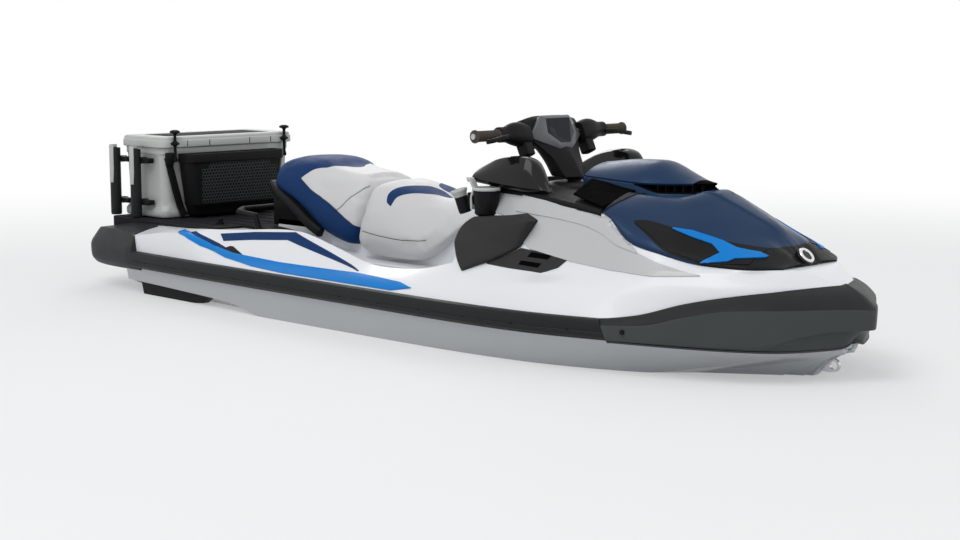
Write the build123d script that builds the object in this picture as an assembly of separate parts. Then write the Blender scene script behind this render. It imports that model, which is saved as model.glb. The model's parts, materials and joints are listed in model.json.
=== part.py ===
"""Personal watercraft for three riders, with an extended rear platform that carries a cooler box.

Frame: +X to the bow, +Y to port, +Z up. The origin is on the centreline, at mid-length, at the
waterline. Millimetres. Stations along the hull and half-widths are given for the design length
and beam, and stretch with LENGTH and BEAM. Every other size is its own.
"""
from build123d import *
import math
import os

# ---- driving dimensions -------------------------------------------------------------------------
LENGTH = 3730.0  # bow bumper to stern bumper
BEAM = 1255.0  # over the rub rails
KEEL_DEPTH = 320.0  # waterline down to the keel
BOND_Z = 115.0  # flat joint between hull and deck
RAIL_HEIGHT = 70.0  # rub rail, from the bond line up
RAIL_DEPTH = 28.0  # rub rail, outside the deck's rim
RAIL_SLOPE = 20.0  # how far the rail's foot lies inboard of its top
PLATFORM_Z = 285.0  # rear platform
GAP = 0.3  # seat gap between separate mouldings
LID_GAP = 0.6  # lids over their rims
SWING_GAP = 8.0  # moving piece to a fixed one

# ---- stretch ------------------------------------------------------------------------------------
DESIGN_LENGTH = 3730.0
DESIGN_BEAM = 1255.0
SX = LENGTH / DESIGN_LENGTH
SY = BEAM / DESIGN_BEAM


def curve(points):
    """Smooth curve through a few (x, y) points, which never overshoots them."""
    xs, ys = zip(*points)
    steps = [b - a for a, b in zip(xs, xs[1:])]
    slopes = [(b - a) / h for a, b, h in zip(ys, ys[1:], steps)]
    inner = [2 * p * q / (p + q) if p * q > 0 else 0.0 for p, q in zip(slopes, slopes[1:])]
    rates = [slopes[0]] + inner + [slopes[-1]]

    def value(x):
        x = min(max(x, xs[0]), xs[-1])
        k = max(i for i in range(len(steps)) if x >= xs[i])
        h = steps[k]
        t = (x - xs[k]) / h
        rise = ys[k + 1] - ys[k]
        bend = rates[k] * h * t * (1 - t) ** 2 - rates[k + 1] * h * t * t * (1 - t)
        return ys[k] + rise * t * t * (3 - 2 * t) + bend

    return value


# ---- hull and deck lines: station, then half-width or height ------------------------------------
PLAN = curve([(-1865, 505), (-1800, 558), (-1420, 611), (-1000, 622), (-400, 627.5), (340, 627.5),
              (600, 622), (860, 600), (1100, 545), (1284, 478), (1460, 405), (1600, 335),
              (1700, 270), (1790, 190), (1845, 105)])
KEEL = curve([(-1490, 0.84), (-1000, 0.94), (-300, 1), (600, 1), (1000, 0.94), (1300, 0.75),
              (1500, 0.46), (1640, 0.05), (1720, -0.22), (1775, -0.32)])
CHINE_Y = curve([(-1490, 565), (-1000, 585), (-500, 575), (0, 556), (500, 530), (800, 490),
                 (1100, 415), (1350, 310), (1500, 220), (1640, 130), (1775, 45)])
CHINE_Z = curve([(-1490, 55), (-1200, 52), (-750, 36), (-500, -15), (-200, -40), (300, -55),
                 (800, -50), (1100, -20), (1300, 10), (1500, 45), (1640, 72), (1775, 104)])
SHOULDER_Y = curve([(-1840, 470), (-1420, 572), (-1130, 574), (-880, 566), (-500, 560),
                    (430, 556), (600, 545), (830, 515), (1000, 480), (1270, 415), (1460, 335),
                    (1620, 240), (1745, 150)])
SHOULDER_Z = curve([(-1840, 225), (-1420, 252), (-1130, 287), (-880, 214), (-500, 209),
                    (430, 225), (830, 262), (1000, 272), (1270, 285), (1460, 298),
                    (1620, 318), (1745, 308)])
CREASE_Y = curve([(-1840, 430), (-1420, 500), (-1130, 490), (-880, 470), (-500, 468),
                  (430, 472), (600, 455), (830, 440), (1000, 420), (1270, 385), (1460, 305),
                  (1620, 190), (1745, 95)])
CREASE_Z = curve([(-1840, 240), (-1420, 272), (-1130, 297), (-880, 300), (-500, 215),
                  (430, 300), (600, 318), (830, 300), (1000, 315), (1270, 340), (1460, 345),
                  (1620, 352), (1745, 318)])
EDGE_Y = curve([(-1840, 262), (430, 290), (600, 300), (830, 312), (1000, 320), (1150, 350),
                (1270, 340), (1400, 298), (1560, 236), (1620, 150), (1745, 60)])
EDGE_Z = curve([(430, 545), (600, 545), (830, 520), (1000, 505), (1150, 415), (1270, 390),
                (1400, 362), (1560, 356), (1620, 358), (1745, 322)])
CORE_Z = curve([(-1840, 245), (-1420, PLATFORM_Z), (-1000, PLATFORM_Z), (-600, 250), (-300, 215), (430, 215)])
TRANSOM_X = -1490.0
COWL_X = 430.0  # where the low deck meets the raised foredeck

# ---- footwells ----------------------------------------------------------------------------------
WELL_X = (-880.0, 415.0)
WELL_Y = (265.0, 452.0)
WELL_FLOOR_Z = 35.0
WELL_WALL = 12.0
WELL_RADIUS = 40.0
MAT_THICK = 5.0

# ---- engine bay and storage ---------------------------------------------------------------------
ENGINE_SIZE = (620.0, 340.0, 270.0)
ENGINE_X = -150.0
ENGINE_BAY_GAP = 25.0
BIN_X = (1035.0, 1430.0)
BIN_HALF_WIDTH = 200.0
BIN_FLOOR_Z = 128.0

# ---- front hood ---------------------------------------------------------------------------------
HOOD_WALL = 14.0
HOOD_LAP = 3.0  # drawn below the rim, then trimmed to it
HOOD_TOP_Z = curve([(1000, 598), (1246, 588), (1367, 550), (1436, 508), (1518, 468), (1558, 435),
                    (1600, 395), (1618, 378)])
RIDGE_Y = curve([(1000, 205), (1150, 195), (1300, 172), (1420, 142), (1540, 100), (1618, 55)])
RIDGE_Z = curve([(1000, 566), (1150, 550), (1300, 502), (1420, 456), (1540, 412), (1618, 372)])
SCOOP_X = (750.0, 1250.0)
SCOOP_TOP_Z = curve([(750, 648), (1000, 672), (1160, 645), (1250, 598)])
SCOOP_Y = curve([(750, 128), (1000, 135), (1160, 120), (1250, 70)])
BADGE_RADIUS = 32.0

# ---- steering -----------------------------------------------------------------------------------
STEER_X = 590.0  # column axis where it leaves the console
STEER_Z = 560.0
STEER_LEAN = 25.5  # degrees aft of upright
COLLAR_RADIUS = 104.0
COLLAR_HEIGHT = 24.0
COLUMN_LENGTH = 215.0  # console to handlebar, along the axis
COLUMN_FOOT = 63.0  # console to the cowl's foot, along the axis
COLUMN_SHAFT = 24.0
COVER_FOOT = 154.0
BAR_HALF_SPAN = 404.0
BAR_RADIUS = 11.0
GRIP_RADIUS = 18.0
GRIP_LENGTH = 118.0
SWITCH_DEPTH = 30.0  # switch housing, ahead of the bar

# ---- console, mirrors and glove box -------------------------------------------------------------
CONSOLE_TOP = curve([(440, 572), (600, 566), (830, 546), (992, 530)])
MIRROR_X = (380.0, 720.0)
GLOVE_X = (304.0, 428.0)
GLOVE_HALF_WIDTH = 95.0
GLOVE_DEPTH = 110.0
DASH_TOP_Z = 530.0
LID_THICK = 14.0

# ---- seats --------------------------------------------------------------------------------------
SEAT_FRONT_X = 292.0
SEAT_SPLIT_X = -392.0
SEAT_REAR_X = -1060.0
PEDESTAL_HALF_WIDTH = 165.0
PEDESTAL_TOP_Z = 340.0
SEAT_TOP = curve([(-1060, 520), (-1000, 575), (-739, 540), (-392, 508), (-187, 500), (-44, 474),
                  (150, 488), (292, 508)])
SEAT_LOW_Z = curve([(-1060, 330), (-740, 330), (-400, 262), (0, 246), (292, 300)])
SEAT_LOW_Y = curve([(-1060, 205), (-740, 235), (-300, 250), (0, 240), (292, 170)])
SEAT_TOP_Y = curve([(-1060, 150), (-740, 185), (-300, 150), (0, 105), (292, 95)])

# ---- cooler and its racks -----------------------------------------------------------------------
COOLER_X = (-1830.0, -1512.0)
COOLER_HALF_WIDTH = 358.0
COOLER_HEIGHT = 312.0
COOLER_WALL = 28.0
LID_OVERHANG = 8.0
COOLER_LID_THICK = 48.0
BASKET_DEPTH = 95.0
BASKET_INSET = (73.0, 113.0)  # from the cooler's starboard and port ends
BASKET_Y = (BASKET_INSET[0] - COOLER_HALF_WIDTH, COOLER_HALF_WIDTH - BASKET_INSET[1])
BASKET_HEIGHT = 285.0
BASKET_WALL = 6.0
TUBE_RADIUS = 26.0
TUBE_BORE = 21.0
TUBE_HEIGHT = 315.0
TUBE_X = (-1822.0, -1662.0)
TUBE_GAP = 9.0
LATCH_INSET = 54.0  # from the cooler's end to the middle of a latch

# ---- cup and rod holder -------------------------------------------------------------------------
CUP_X = 470.0
CUP_Y = -352.0
CUP_RADIUS = 51.0
CUP_BORE = 43.0
CUP_HEIGHT = 100.0
CUP_BASE_Z = 462.0
HOLDER_FLOOR = 6.0
ROD_X = 372.0
ROD_RADIUS = 24.0
ROD_BORE = 19.5
ROD_HEIGHT = 108.0
ROD_DEPTH = 96.0
ROD_TILT = 12.0
ROD_BASE_Z = 430.0

# ---- jet pump, which keeps its own length and hangs on the transom ------------------------------
def aft(x):
    """Station of the jet unit, once the hull's length has moved the transom."""
    return TRANSOM_X * SX + (x - TRANSOM_X)


PUMP_Z = -168.0
PUMP_RADIUS = 92.0
PUMP_BORE = 80.0
PUMP_X = (aft(-1478.0), aft(-1230.0))
NOZZLE_PIVOT_X = aft(-1500.0)
NOZZLE_LENGTH = 92.0
NOZZLE_PIN = 10.0
BUCKET_PIN = 7.0
HUB_LENGTH = 122.0
NOZZLE_RADIUS = 58.0
NOZZLE_BORE = 44.0
IMPELLER_RADIUS = 76.0
IMPELLER_X = aft(-1300.0)
SHAFT_RADIUS = 14.0
BUCKET_RADIUS = 124.0
BUCKET_WALL = 10.0
BUCKET_HALF_WIDTH = 104.0
TUNNEL_X = aft(-1180.0)
TUNNEL_HALF_WIDTH = 112.0
PLATE_THICK = 10.0

# ---- ironmongery --------------------------------------------------------------------------------
EYE_RADIUS = 22.0
EYE_BORE = 14.0
EYE_THICK = 10.0
TOW_EYE_Z = -20.0
STEP_HALF_WIDTH = 190.0
STEP_REACH = 225.0
STEP_BAR = 11.0
STEP_HINGE_X = -1828.0
STEP_HINGE_Z = 88.0

STATIONS_HULL = [-1490, -1200, -900, -600, -300, 0, 300, 600, 850, 1050, 1250, 1400, 1520, 1620,
                 1700, 1775]
STATIONS_AFT = [-1840, -1700, -1420, -1280, -1130, -1000, -880, -700, -500, -250, 0, 220, 430]
STATIONS_FORE = [430, 520, 600, 720, 830, 920, 1000, 1075, 1150, 1270, 1400, 1500, 1560, 1620,
                 1690, 1745]
STATIONS_HOOD = [1000, 1075, 1150, 1246, 1330, 1400, 1470, 1540, 1585, 1618]
STATIONS_SCOOP = [750, 880, 1000, 1090, 1160, 1210, 1250]


# ---- shared shapes ------------------------------------------------------------------------------
def section(x, half):
    """Closed cross-section at a station, from its port half, bottom to top."""
    port = [(y * SY, z) for y, z in half]
    starboard = [(-y, z) for y, z in reversed(port) if y > 0]
    return Wire.make_polygon([Vector(x * SX, y, z) for y, z in port + starboard], close=True)


def skin(stations, half_at):
    """Smooth solid through the cross-sections that half_at gives at the stations."""
    return Solid.make_loft([section(x, half_at(x)) for x in stations])


def block(x, y, z):
    """Box between two corners, given as (low, high) pairs."""
    size = [high - low for low, high in (x, y, z)]
    return Pos(x[0], y[0], z[0]) * Box(*size, align=(Align.MIN, Align.MIN, Align.MIN))


def side_cut(points, half_width=900.0):
    """Prism with a side-view outline of (x, z) points, right across the beam."""
    face = make_face(Plane.XZ * Polyline([(x * SX, z) for x, z in points], close=True))
    return extrude(face, half_width, both=True)


def jet_cut(points, half):
    """Like side_cut, with stations of the jet unit."""
    return side_cut([(aft(x) / SX, z) for x, z in points], half)


def half_space(side):
    """Everything to port (1) or starboard (-1) of the centreline."""
    far = 900.0
    return block((-2500, 2500), (0, far) if side > 0 else (-far, 0), (-900, 1200))


def rod(radius, length, place):
    """Cylinder with its foot at a location, running along that location's Z."""
    return place * Cylinder(radius, length, align=(Align.CENTER, Align.CENTER, Align.MIN))


def along_y(x, y, z):
    """Location whose Z runs to port."""
    return Pos(x, y, z) * Rot(-90, 0, 0)


def along_x(x, y, z):
    """Location whose Z runs to the bow."""
    return Pos(x, y, z) * Rot(0, 90, 0)


def outline(inset, tip_inset, z):
    """Plan of the craft at one height, set in at the sides and at the bow tip."""
    def place(x):
        forward = min(max((x - 1200.0) / 665.0, 0.0), 1.0)
        pull = tip_inset * forward * forward * (3 - 2 * forward)
        return (x - pull) * SX

    stations = [-1865, -1800, -1420, -1000, -400, 340, 600, 860, 1100, 1284, 1460, 1600, 1700,
                1790, 1845]
    port = [(place(x), max(PLAN(x) - inset, 20.0) * SY) for x in stations]
    tip = [(place(1865.0), 0.0)]
    starboard = [(x, -y) for x, y in reversed(port)]
    side = Spline([Vector(x, y, z) for x, y in port + tip + starboard])
    return Wire([side.edge(), Line(side @ 1, side @ 0).edge()])


def slab(low_inset, high_inset, low_z, high_z):
    """Layer of the craft's plan between two heights."""
    return Solid.make_loft([outline(low_inset, low_inset, low_z),
                            outline(high_inset, high_inset, high_z)], True)


# ---- hull and deck ------------------------------------------------------------------------------
def well_plan(side, grow, low_z, high_z):
    """Footwell prism on one side, grown all round."""
    x = [WELL_X[0] * SX - grow, WELL_X[1] * SX + grow]
    y = sorted([side * (WELL_Y[0] * SY - grow), side * (WELL_Y[1] * SY + grow)])
    body = block(x, y, (low_z, high_z))
    return fillet(body.edges().filter_by(Axis.Z), WELL_RADIUS + grow)


def hull_half(x):
    chine_y = CHINE_Y(x)
    chine_z = CHINE_Z(x)
    rim = PLAN(x) - RAIL_DEPTH - 2
    tuck = min(60.0, chine_y * 0.4)
    return [(0, -KEEL_DEPTH * KEEL(x)), (chine_y - tuck, chine_z - 18), (chine_y, chine_z),
            (max(rim, chine_y + 4), BOND_Z)]


def engine_bay():
    length, width, height = ENGINE_SIZE
    middle = ENGINE_X * SX
    low = BOND_Z - height - ENGINE_BAY_GAP
    x = (middle - length / 2 - ENGINE_BAY_GAP, middle + length / 2 + ENGINE_BAY_GAP)
    y = (-width / 2 - ENGINE_BAY_GAP, width / 2 + ENGINE_BAY_GAP)
    return block(x, y, (low, BOND_Z + 1))


def pump_tunnel():
    """Pump bay open at the transom, and the sloping intake duct ahead of it."""
    half = TUNNEL_HALF_WIDTH
    bay = block((aft(-1600), TUNNEL_X), (-half, half), (-600, PUMP_Z + half))
    duct = jet_cut([(-1200, -110), (-1200, -400), (-720, -400), (-720, -300)], 85.0)
    return bay + duct


def build_hull():
    hull = skin(STATIONS_HULL, hull_half)
    for side in (1, -1):
        hull -= well_plan(side, WELL_WALL + GAP, WELL_FLOOR_Z - WELL_WALL - GAP, BOND_Z + 5)
    return hull - engine_bay() - pump_tunnel()


def deck_rim(x):
    rim = PLAN(x) - RAIL_DEPTH - 2
    return [(rim, BOND_Z), (rim, BOND_Z + RAIL_HEIGHT)]


def deck_aft_half(x):
    return deck_rim(x) + [(SHOULDER_Y(x), SHOULDER_Z(x)), (CREASE_Y(x), CREASE_Z(x)),
                          (EDGE_Y(x), CORE_Z(x)), (0, CORE_Z(x) + 2)]


def deck_fore_half(x):
    return deck_rim(x) + [(SHOULDER_Y(x), SHOULDER_Z(x)), (CREASE_Y(x), CREASE_Z(x)),
                          (EDGE_Y(x), EDGE_Z(x)), (0, EDGE_Z(x) + 1)]


def foredeck():
    return skin(STATIONS_FORE, deck_fore_half)


def step_lugs():
    """Two lugs under the platform that carry the boarding step's pivot."""
    x = STEP_HINGE_X * SX
    bore = rod(STEP_BAR + GAP, 2 * STEP_HALF_WIDTH + 80,
               along_y(x, -STEP_HALF_WIDTH - 40, STEP_HINGE_Z))
    lugs = []
    for side in (1, -1):
        y = sorted([side * (STEP_HALF_WIDTH + 18), side * (STEP_HALF_WIDTH + 32)])
        lugs.append(block((x - 20, x + 20), y, (STEP_HINGE_Z - 20, BOND_Z + 10)) - bore)
    return lugs


def build_deck():
    deck = skin(STATIONS_AFT, deck_aft_half) + foredeck()
    for lug in step_lugs():
        deck = deck + lug
    pedestal = block((-960 * SX, 320 * SX), (-PEDESTAL_HALF_WIDTH, PEDESTAL_HALF_WIDTH),
                     (BOND_Z + 40, PEDESTAL_TOP_Z))
    dash = block(((GLOVE_X[0] + 1) * SX, (COWL_X + 40) * SX), (-200 * SY, 200 * SY),
                 (BOND_Z + 40, DASH_TOP_Z))
    deck = deck + pedestal + dash
    for side in (1, -1):
        tray = well_plan(side, WELL_WALL, WELL_FLOOR_Z - WELL_WALL, BOND_Z + 20)
        deck = deck + tray - well_plan(side, 0.0, WELL_FLOOR_Z, 500.0)
    bin_box = block((BIN_X[0] * SX, BIN_X[1] * SX), (-BIN_HALF_WIDTH * SY, BIN_HALF_WIDTH * SY),
                    (BIN_FLOOR_Z, 700))
    glove = block((GLOVE_X[0] * SX + 10, GLOVE_X[1] * SX - 10),
                  (-GLOVE_HALF_WIDTH + 10, GLOVE_HALF_WIDTH - 10),
                  (DASH_TOP_Z - GLOVE_DEPTH, 700))
    return deck - bin_box - glove


def split_x(z):
    """Slanted joint between a rub rail and the front bumper."""
    return 1219.0 - (z - 60.0) * 0.42


def build_rub_rails(deck):
    band = slab(RAIL_SLOPE, 0.0, BOND_Z, BOND_Z + RAIL_HEIGHT)
    core = slab(90.0, 90.0, BOND_Z - 5, BOND_Z + RAIL_HEIGHT + 5)
    length = side_cut([(-1415, 0), (-1440, 400), (split_x(400) - 1, 400), (split_x(0) - 1, 0)])
    return (band & length) - core - deck


def build_front_bumper(deck, hull):
    heights = [(104, 60, 108), (128, 34, 55), (163, 18, 40), (202, 0, 5), (258, 6, 3),
               (286, 20, 44), (313, 45, 112)]
    body = Solid.make_loft([outline(inset, tip, z) for z, inset, tip in heights], True)
    shape = side_cut([(split_x(60), 60), (split_x(190), 190), (1290, 232), (1400, 262), (1560, 290),
                      (1700, 318), (1900, 318), (1900, 60)])
    core = slab(90.0, 150.0, 60, 400)
    return (body & shape) - core - deck - hull


def build_rear_bumper(deck, hull):
    low = BOND_Z - 18
    top = 236.0
    body = Solid.make_loft([outline(34, 34, low), outline(6, 6, low + 30), outline(0, 0, 185),
                            outline(26, 26, top)], True)
    shape = side_cut([(-1900, 60), (-1900, 300), (-1435, 300), (-1420, 60)])
    core = block((-1832 * SX, 0), (-440 * SY, 440 * SY), (0, 400))
    under = slab(60.0, 60.0, 0, BOND_Z)
    return (body & shape) - core - under - deck - hull


def wrap(stations, half_at, extra):
    """The same skin a little larger, so that a panel can lie on it."""
    def grown(x):
        return [(y + (extra if y > 0 else 0), z + (extra if i > 1 else 0))
                for i, (y, z) in enumerate(half_at(x))]

    return skin(stations, grown)


def build_gunwale_trims(deck):
    shell = wrap(STATIONS_AFT, deck_aft_half, 5.0)
    shape = side_cut([(-1150, 300), (-1110, 250), (-885, 186), (180, 186), (268, 200),
                      (200, 260), (-880, 260), (-1080, 330)])
    outer = block((-1900, 1900), (520 * SY, 700), (0, 500))
    outer = outer + mirror(outer, Plane.XZ)
    return (shell & shape & outer) - deck - slab(0, 0, 0, BOND_Z + RAIL_HEIGHT + 0.5)


def build_side_panels(deck, others):
    shell = wrap(STATIONS_FORE, deck_fore_half, 4.0)
    shape = side_cut([(560, 420), (600, 560), (1000, 530), (1140, 405), (1250, 380), (1420, 352),
                      (1000, 330), (830, 318), (700, 330)])
    inner = block((-1900, 1900), (-EDGE_Y(700) * SY, EDGE_Y(700) * SY), (0, 900))
    panels = (shell & shape) - deck - inner
    for other in others:
        panels = panels - other
    return panels


def build_knee_pads(deck, console):
    pads = []
    for side in (1, -1):
        foot = [(330, 262), (420, 262), (700, 330), (600, 440), (560, 452), (405, 452),
                (345, 350)]
        body = side_cut(foot, 440.0 * SY) & half_space(side)
        body -= block((0, 2000), (-300 * SY, 300 * SY), (0, 900))
        pads.append(body - deck - console)
    return pads


def build_deck_vents(deck):
    vents = []
    for side in (1, -1):
        shape = side_cut([(712, 310), (905, 318), (905, 352), (720, 372)], 475.0 * SY)
        body = shape & half_space(side)
        body -= block((0, 2000), (-380 * SY, 380 * SY), (0, 900))
        vents.append(body - deck)
    return vents


def build_engine():
    length, width, height = ENGINE_SIZE
    middle = ENGINE_X * SX
    low = BOND_Z - height - ENGINE_BAY_GAP
    return block((middle - length / 2, middle + length / 2), (-width / 2, width / 2),
                 (low, low + height))


# ---- console and steering -----------------------------------------------------------------------
def steer_place(height=0.0):
    """Location on the steering axis, with Z along the axis."""
    return Pos(STEER_X * SX, 0, STEER_Z) * Rot(0, -STEER_LEAN, 0) * Pos(0, 0, height)


def build_console(deck):
    def half(x):
        top = CONSOLE_TOP(x)
        return [(EDGE_Y(x) + 6, top - 60), (EDGE_Y(x) + 8, top - 18), (EDGE_Y(x) - 40, top),
                (0, top + 2)]

    body = skin([440, 520, 600, 720, 830, 920, 992], half)
    slot = block(((SCOOP_X[0] - SWING_GAP) * SX, 1100 * SX), (-143 * SY, 143 * SY), (0, 900))
    lid = block((0, GLOVE_X[1] * SX + SWING_GAP), (-GLOVE_HALF_WIDTH - SWING_GAP,
                                                     GLOVE_HALF_WIDTH + SWING_GAP), (0, 900))
    return body - slot - lid - deck - steering_bore()


def steering_bore():
    return rod(COLUMN_SHAFT + GAP, 200, steer_place(-100))


def build_steering_base(console, deck):
    collar = rod(COLLAR_RADIUS, COLLAR_HEIGHT + 12, Pos(STEER_X * SX - 12, 0, STEER_Z - 12))
    collar = chamfer(collar.faces().sort_by(Axis.Z)[-1].edges(), 12)
    return collar - steering_bore() - console - deck


def build_mirrors(console):
    """Broad wing-shaped mirror housings, one each side of the console."""
    def half(x):
        t = (x - MIRROR_X[0]) / (MIRROR_X[1] - MIRROR_X[0])
        top = 606 + 84 * math.sin(min(1.0, t * 1.45) * math.pi / 2) - 60 * max(0.0, t - 0.6)
        low = 588 - 24 * t
        return top, low - 16

    mirrors = []
    for side in (1, -1):
        wires = []
        for x in (380, 440, 520, 600, 680, 720):
            top, low = half(x)
            inner = 232 + 0.08 * (720 - x)
            outer = 322
            points = [(inner, low), (outer, low), (outer + 12, low + 12), (outer - 25, top),
                      (inner + 10, top - 8)]
            wires.append(Wire.make_polygon([Vector(x * SX, side * y * SY, z)
                                            for y, z in points], close=True))
        mirrors.append(Solid.make_loft(wires) - console)
    return mirrors


def bar_place():
    return steer_place(COLUMN_LENGTH)


def build_column():
    """Y-shaped cowl from the collar up to the handlebar."""
    plane = Plane(steer_place(0))
    low = plane.offset(COLUMN_FOOT) * Rectangle(96, 104)
    waist = plane.offset(COLUMN_FOOT + 42) * Rectangle(84, 84)
    top = plane.offset(COVER_FOOT - GAP) * Rectangle(110, 220)
    body = loft([low, waist, top])
    return body + rod(COLUMN_SHAFT, COLUMN_FOOT + 5, steer_place(8))


def build_gauge_cover():
    """Faceted cover over the middle of the handlebar."""
    plane = Plane(steer_place(COVER_FOOT))
    low = plane * Rectangle(112, 222)
    top = plane.offset(95) * (Pos(-8, 0) * Rectangle(84, 150))
    body = loft([low, top])
    centre = bar_place()
    return body - rod(BAR_RADIUS + GAP, 700, centre * Pos(0, -350, 0) * Rot(-90, 0, 0))


def build_handlebar():
    centre = bar_place()
    return rod(BAR_RADIUS, 2 * BAR_HALF_SPAN - 20,
               centre * Pos(0, -BAR_HALF_SPAN + 10, 0) * Rot(-90, 0, 0))


def build_grips():
    grips = []
    for side in (1, -1):
        start = BAR_HALF_SPAN - GRIP_LENGTH if side > 0 else -BAR_HALF_SPAN
        place = bar_place() * Pos(0, start, 0) * Rot(-90, 0, 0)
        grip = rod(GRIP_RADIUS, GRIP_LENGTH, place)
        grips.append(grip - build_handlebar())
    return grips


def build_switch_housings(cover):
    housings = []
    reach = BAR_HALF_SPAN - GRIP_LENGTH - 1
    for side in (1, -1):
        y = (128.0, reach) if side > 0 else (-reach, -128.0)
        box = bar_place() * block((-34, SWITCH_DEPTH), y, (-40, 34))
        box = fillet(box.edges(), 9)
        housings.append(box - build_handlebar() - cover)
    return housings


def build_levers():
    levers = []
    for side in (1, -1):
        y = BAR_HALF_SPAN - GRIP_LENGTH - 12
        path = [(SWITCH_DEPTH + GAP, y - 8), (42, y), (46, y + 95), (36, y + 95), (33, y + 12)]
        plane = Plane(bar_place() * Pos(0, 0, -12))
        face = plane * make_face(Polyline([(x, side * w) for x, w in path], close=True))
        levers.append(extrude(face, 9))
    return levers


def build_glove_lid():
    return block((GLOVE_X[0] * SX, GLOVE_X[1] * SX - SWING_GAP),
                 (-GLOVE_HALF_WIDTH, GLOVE_HALF_WIDTH),
                 (DASH_TOP_Z + LID_GAP, DASH_TOP_Z + LID_GAP + LID_THICK))


# ---- front hood ---------------------------------------------------------------------------------
def hood_half(x, drop=0.0, low=0.0):
    """Hood cross-section, and the hollow under it when drop is its wall."""
    edge_y = EDGE_Y(x) - drop
    edge_z = EDGE_Z(x) - HOOD_LAP
    ridge_y = max(RIDGE_Y(x) - drop * 0.7, 12.0)
    ridge_z = RIDGE_Z(x) - drop
    mid_y = edge_y * 0.58 + ridge_y * 0.42 + 12
    mid_z = max(edge_z * 0.45 + ridge_z * 0.55 - drop * 0.2, edge_z + 6)
    return [(edge_y, edge_z - low), (mid_y, mid_z), (ridge_y, max(ridge_z, mid_z + 3)),
            (0, max(HOOD_TOP_Z(x) - drop, mid_z + 6))]


def scoop_half(x, drop=0.0, low=0.0):
    foot = EDGE_Z(x) - HOOD_LAP - low
    top = SCOOP_TOP_Z(x) - drop
    wide = SCOOP_Y(x) - drop
    return [(wide + 4, foot), (wide + 3, min(foot + 50 + low, top - 25)), (wide - 25, top - 8),
            (0, top)]


def hood_outside(foredeck):
    """The hood as if it were solid, resting a lid gap over the foredeck."""
    body = skin(STATIONS_HOOD, hood_half) + skin(STATIONS_SCOOP, scoop_half)
    return body - Pos(0, 0, LID_GAP) * foredeck


def build_hood(hood_form):
    inner_stations = [1016, 1075, 1150, 1246, 1330, 1400, 1450]
    hollow = skin(inner_stations, lambda x: hood_half(x, HOOD_WALL, 20))
    scoop_hollow = skin([764, 880, 1000, 1090, 1160], lambda x: scoop_half(x, HOOD_WALL, 20))
    return hood_form - hollow - scoop_hollow


def hood_wrap(extra):
    def grown(x):
        return [(y + (extra if y > 0 else 0), z + (extra if i > 1 else 0))
                for i, (y, z) in enumerate(hood_half(x))]

    return skin(STATIONS_HOOD, grown)


def build_side_trims(hood_form):
    shape = side_cut([(1085, 470), (1130, 430), (1290, 404), (1400, 372), (1585, 368),
                      (1585, 398), (1440, 420), (1330, 440), (1180, 480)])
    return (hood_wrap(4.0) & shape) - hood_form - block((0, 2000), (-60, 60), (0, 900))


def build_accents(hood_form, trims):
    shape = side_cut([(1230, 462), (1400, 428), (1570, 396), (1420, 398), (1310, 384),
                      (1350, 416)])
    inner = block((0, 2000), (-60, 60), (0, 900))
    piece = (hood_wrap(7.0) & shape) - hood_form - inner
    for trim in trims:
        piece = piece - trim
    return piece


def build_hood_vents(hood_form):
    vents = []
    for side in (1, -1):
        y = sorted([side * 60 * SY, side * 158 * SY])
        body = block((1050 * SX, 1235 * SX), y, (585, 612))
        vents.append(body - hood_form)
    return vents


def build_badge(hood_form):
    place = Pos(1585 * SX, 0, 392) * Rot(0, 62, 0)
    ring = rod(BADGE_RADIUS, 30, place) - rod(BADGE_RADIUS * 0.55, 60, Pos(0, 0, 0) * place)
    return ring - hood_form


# ---- seats --------------------------------------------------------------------------------------
def seat_half(x):
    top = SEAT_TOP(x)
    low = SEAT_LOW_Z(x)
    return [(SEAT_LOW_Y(x) - 20, low), (SEAT_LOW_Y(x), low + 30),
            (0.5 * (SEAT_LOW_Y(x) + SEAT_TOP_Y(x)) + 12, top - 60), (SEAT_TOP_Y(x), top - 15),
            (0, top)]


def build_driver_seat(deck):
    stations = [SEAT_SPLIT_X + 1, -300, -187, -44, 60, 150, 220, SEAT_FRONT_X]
    return skin(stations, seat_half) - deck


def build_passenger_seat(deck):
    stations = [SEAT_REAR_X, -1000, -870, -739, -600, -480, SEAT_SPLIT_X - 1]
    return skin(stations, seat_half) - deck


def build_grab_handle(deck, seat):
    bar = 13.0
    y = 285.0 * SY
    x = (-1122.0 * SX, -915.0 * SX)
    z = 348.0
    path = Polyline([(x[1], -y, z - 90), (x[1] - 40, -y, z), (x[0] + 50, -y, z + 8),
                     (x[0], -y + 60, z + 12), (x[0], y - 60, z + 12), (x[0] + 50, y, z + 8),
                     (x[1] - 40, y, z), (x[1], y, z - 90)])
    profile = Plane(path @ 0, z_dir=path % 0) * Circle(bar)
    return sweep(profile, path=path, transition=Transition.ROUND) - deck - seat


# ---- mats, platform and cooler ------------------------------------------------------------------
def build_footwell_mats():
    mats = []
    for side in (1, -1):
        mats.append(well_plan(side, -6.0, WELL_FLOOR_Z + GAP, WELL_FLOOR_Z + GAP + MAT_THICK))
    return mats


def mat_level():
    return PLATFORM_Z + 10.0


def build_platform_mat(deck):
    x = (-1826 * SX, -1075 * SX)
    y = (-436 * SY, 436 * SY)
    body = block(x, y, (200, mat_level()))
    body = fillet(body.edges().filter_by(Axis.Z), 45)
    return body - deck


def cooler_foot_z():
    return mat_level() + GAP


def cooler_rim_z():
    return cooler_foot_z() + COOLER_HEIGHT


def cooler_span():
    return COOLER_X[0] * SX, COOLER_X[0] * SX + COOLER_X[1] - COOLER_X[0]


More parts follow.
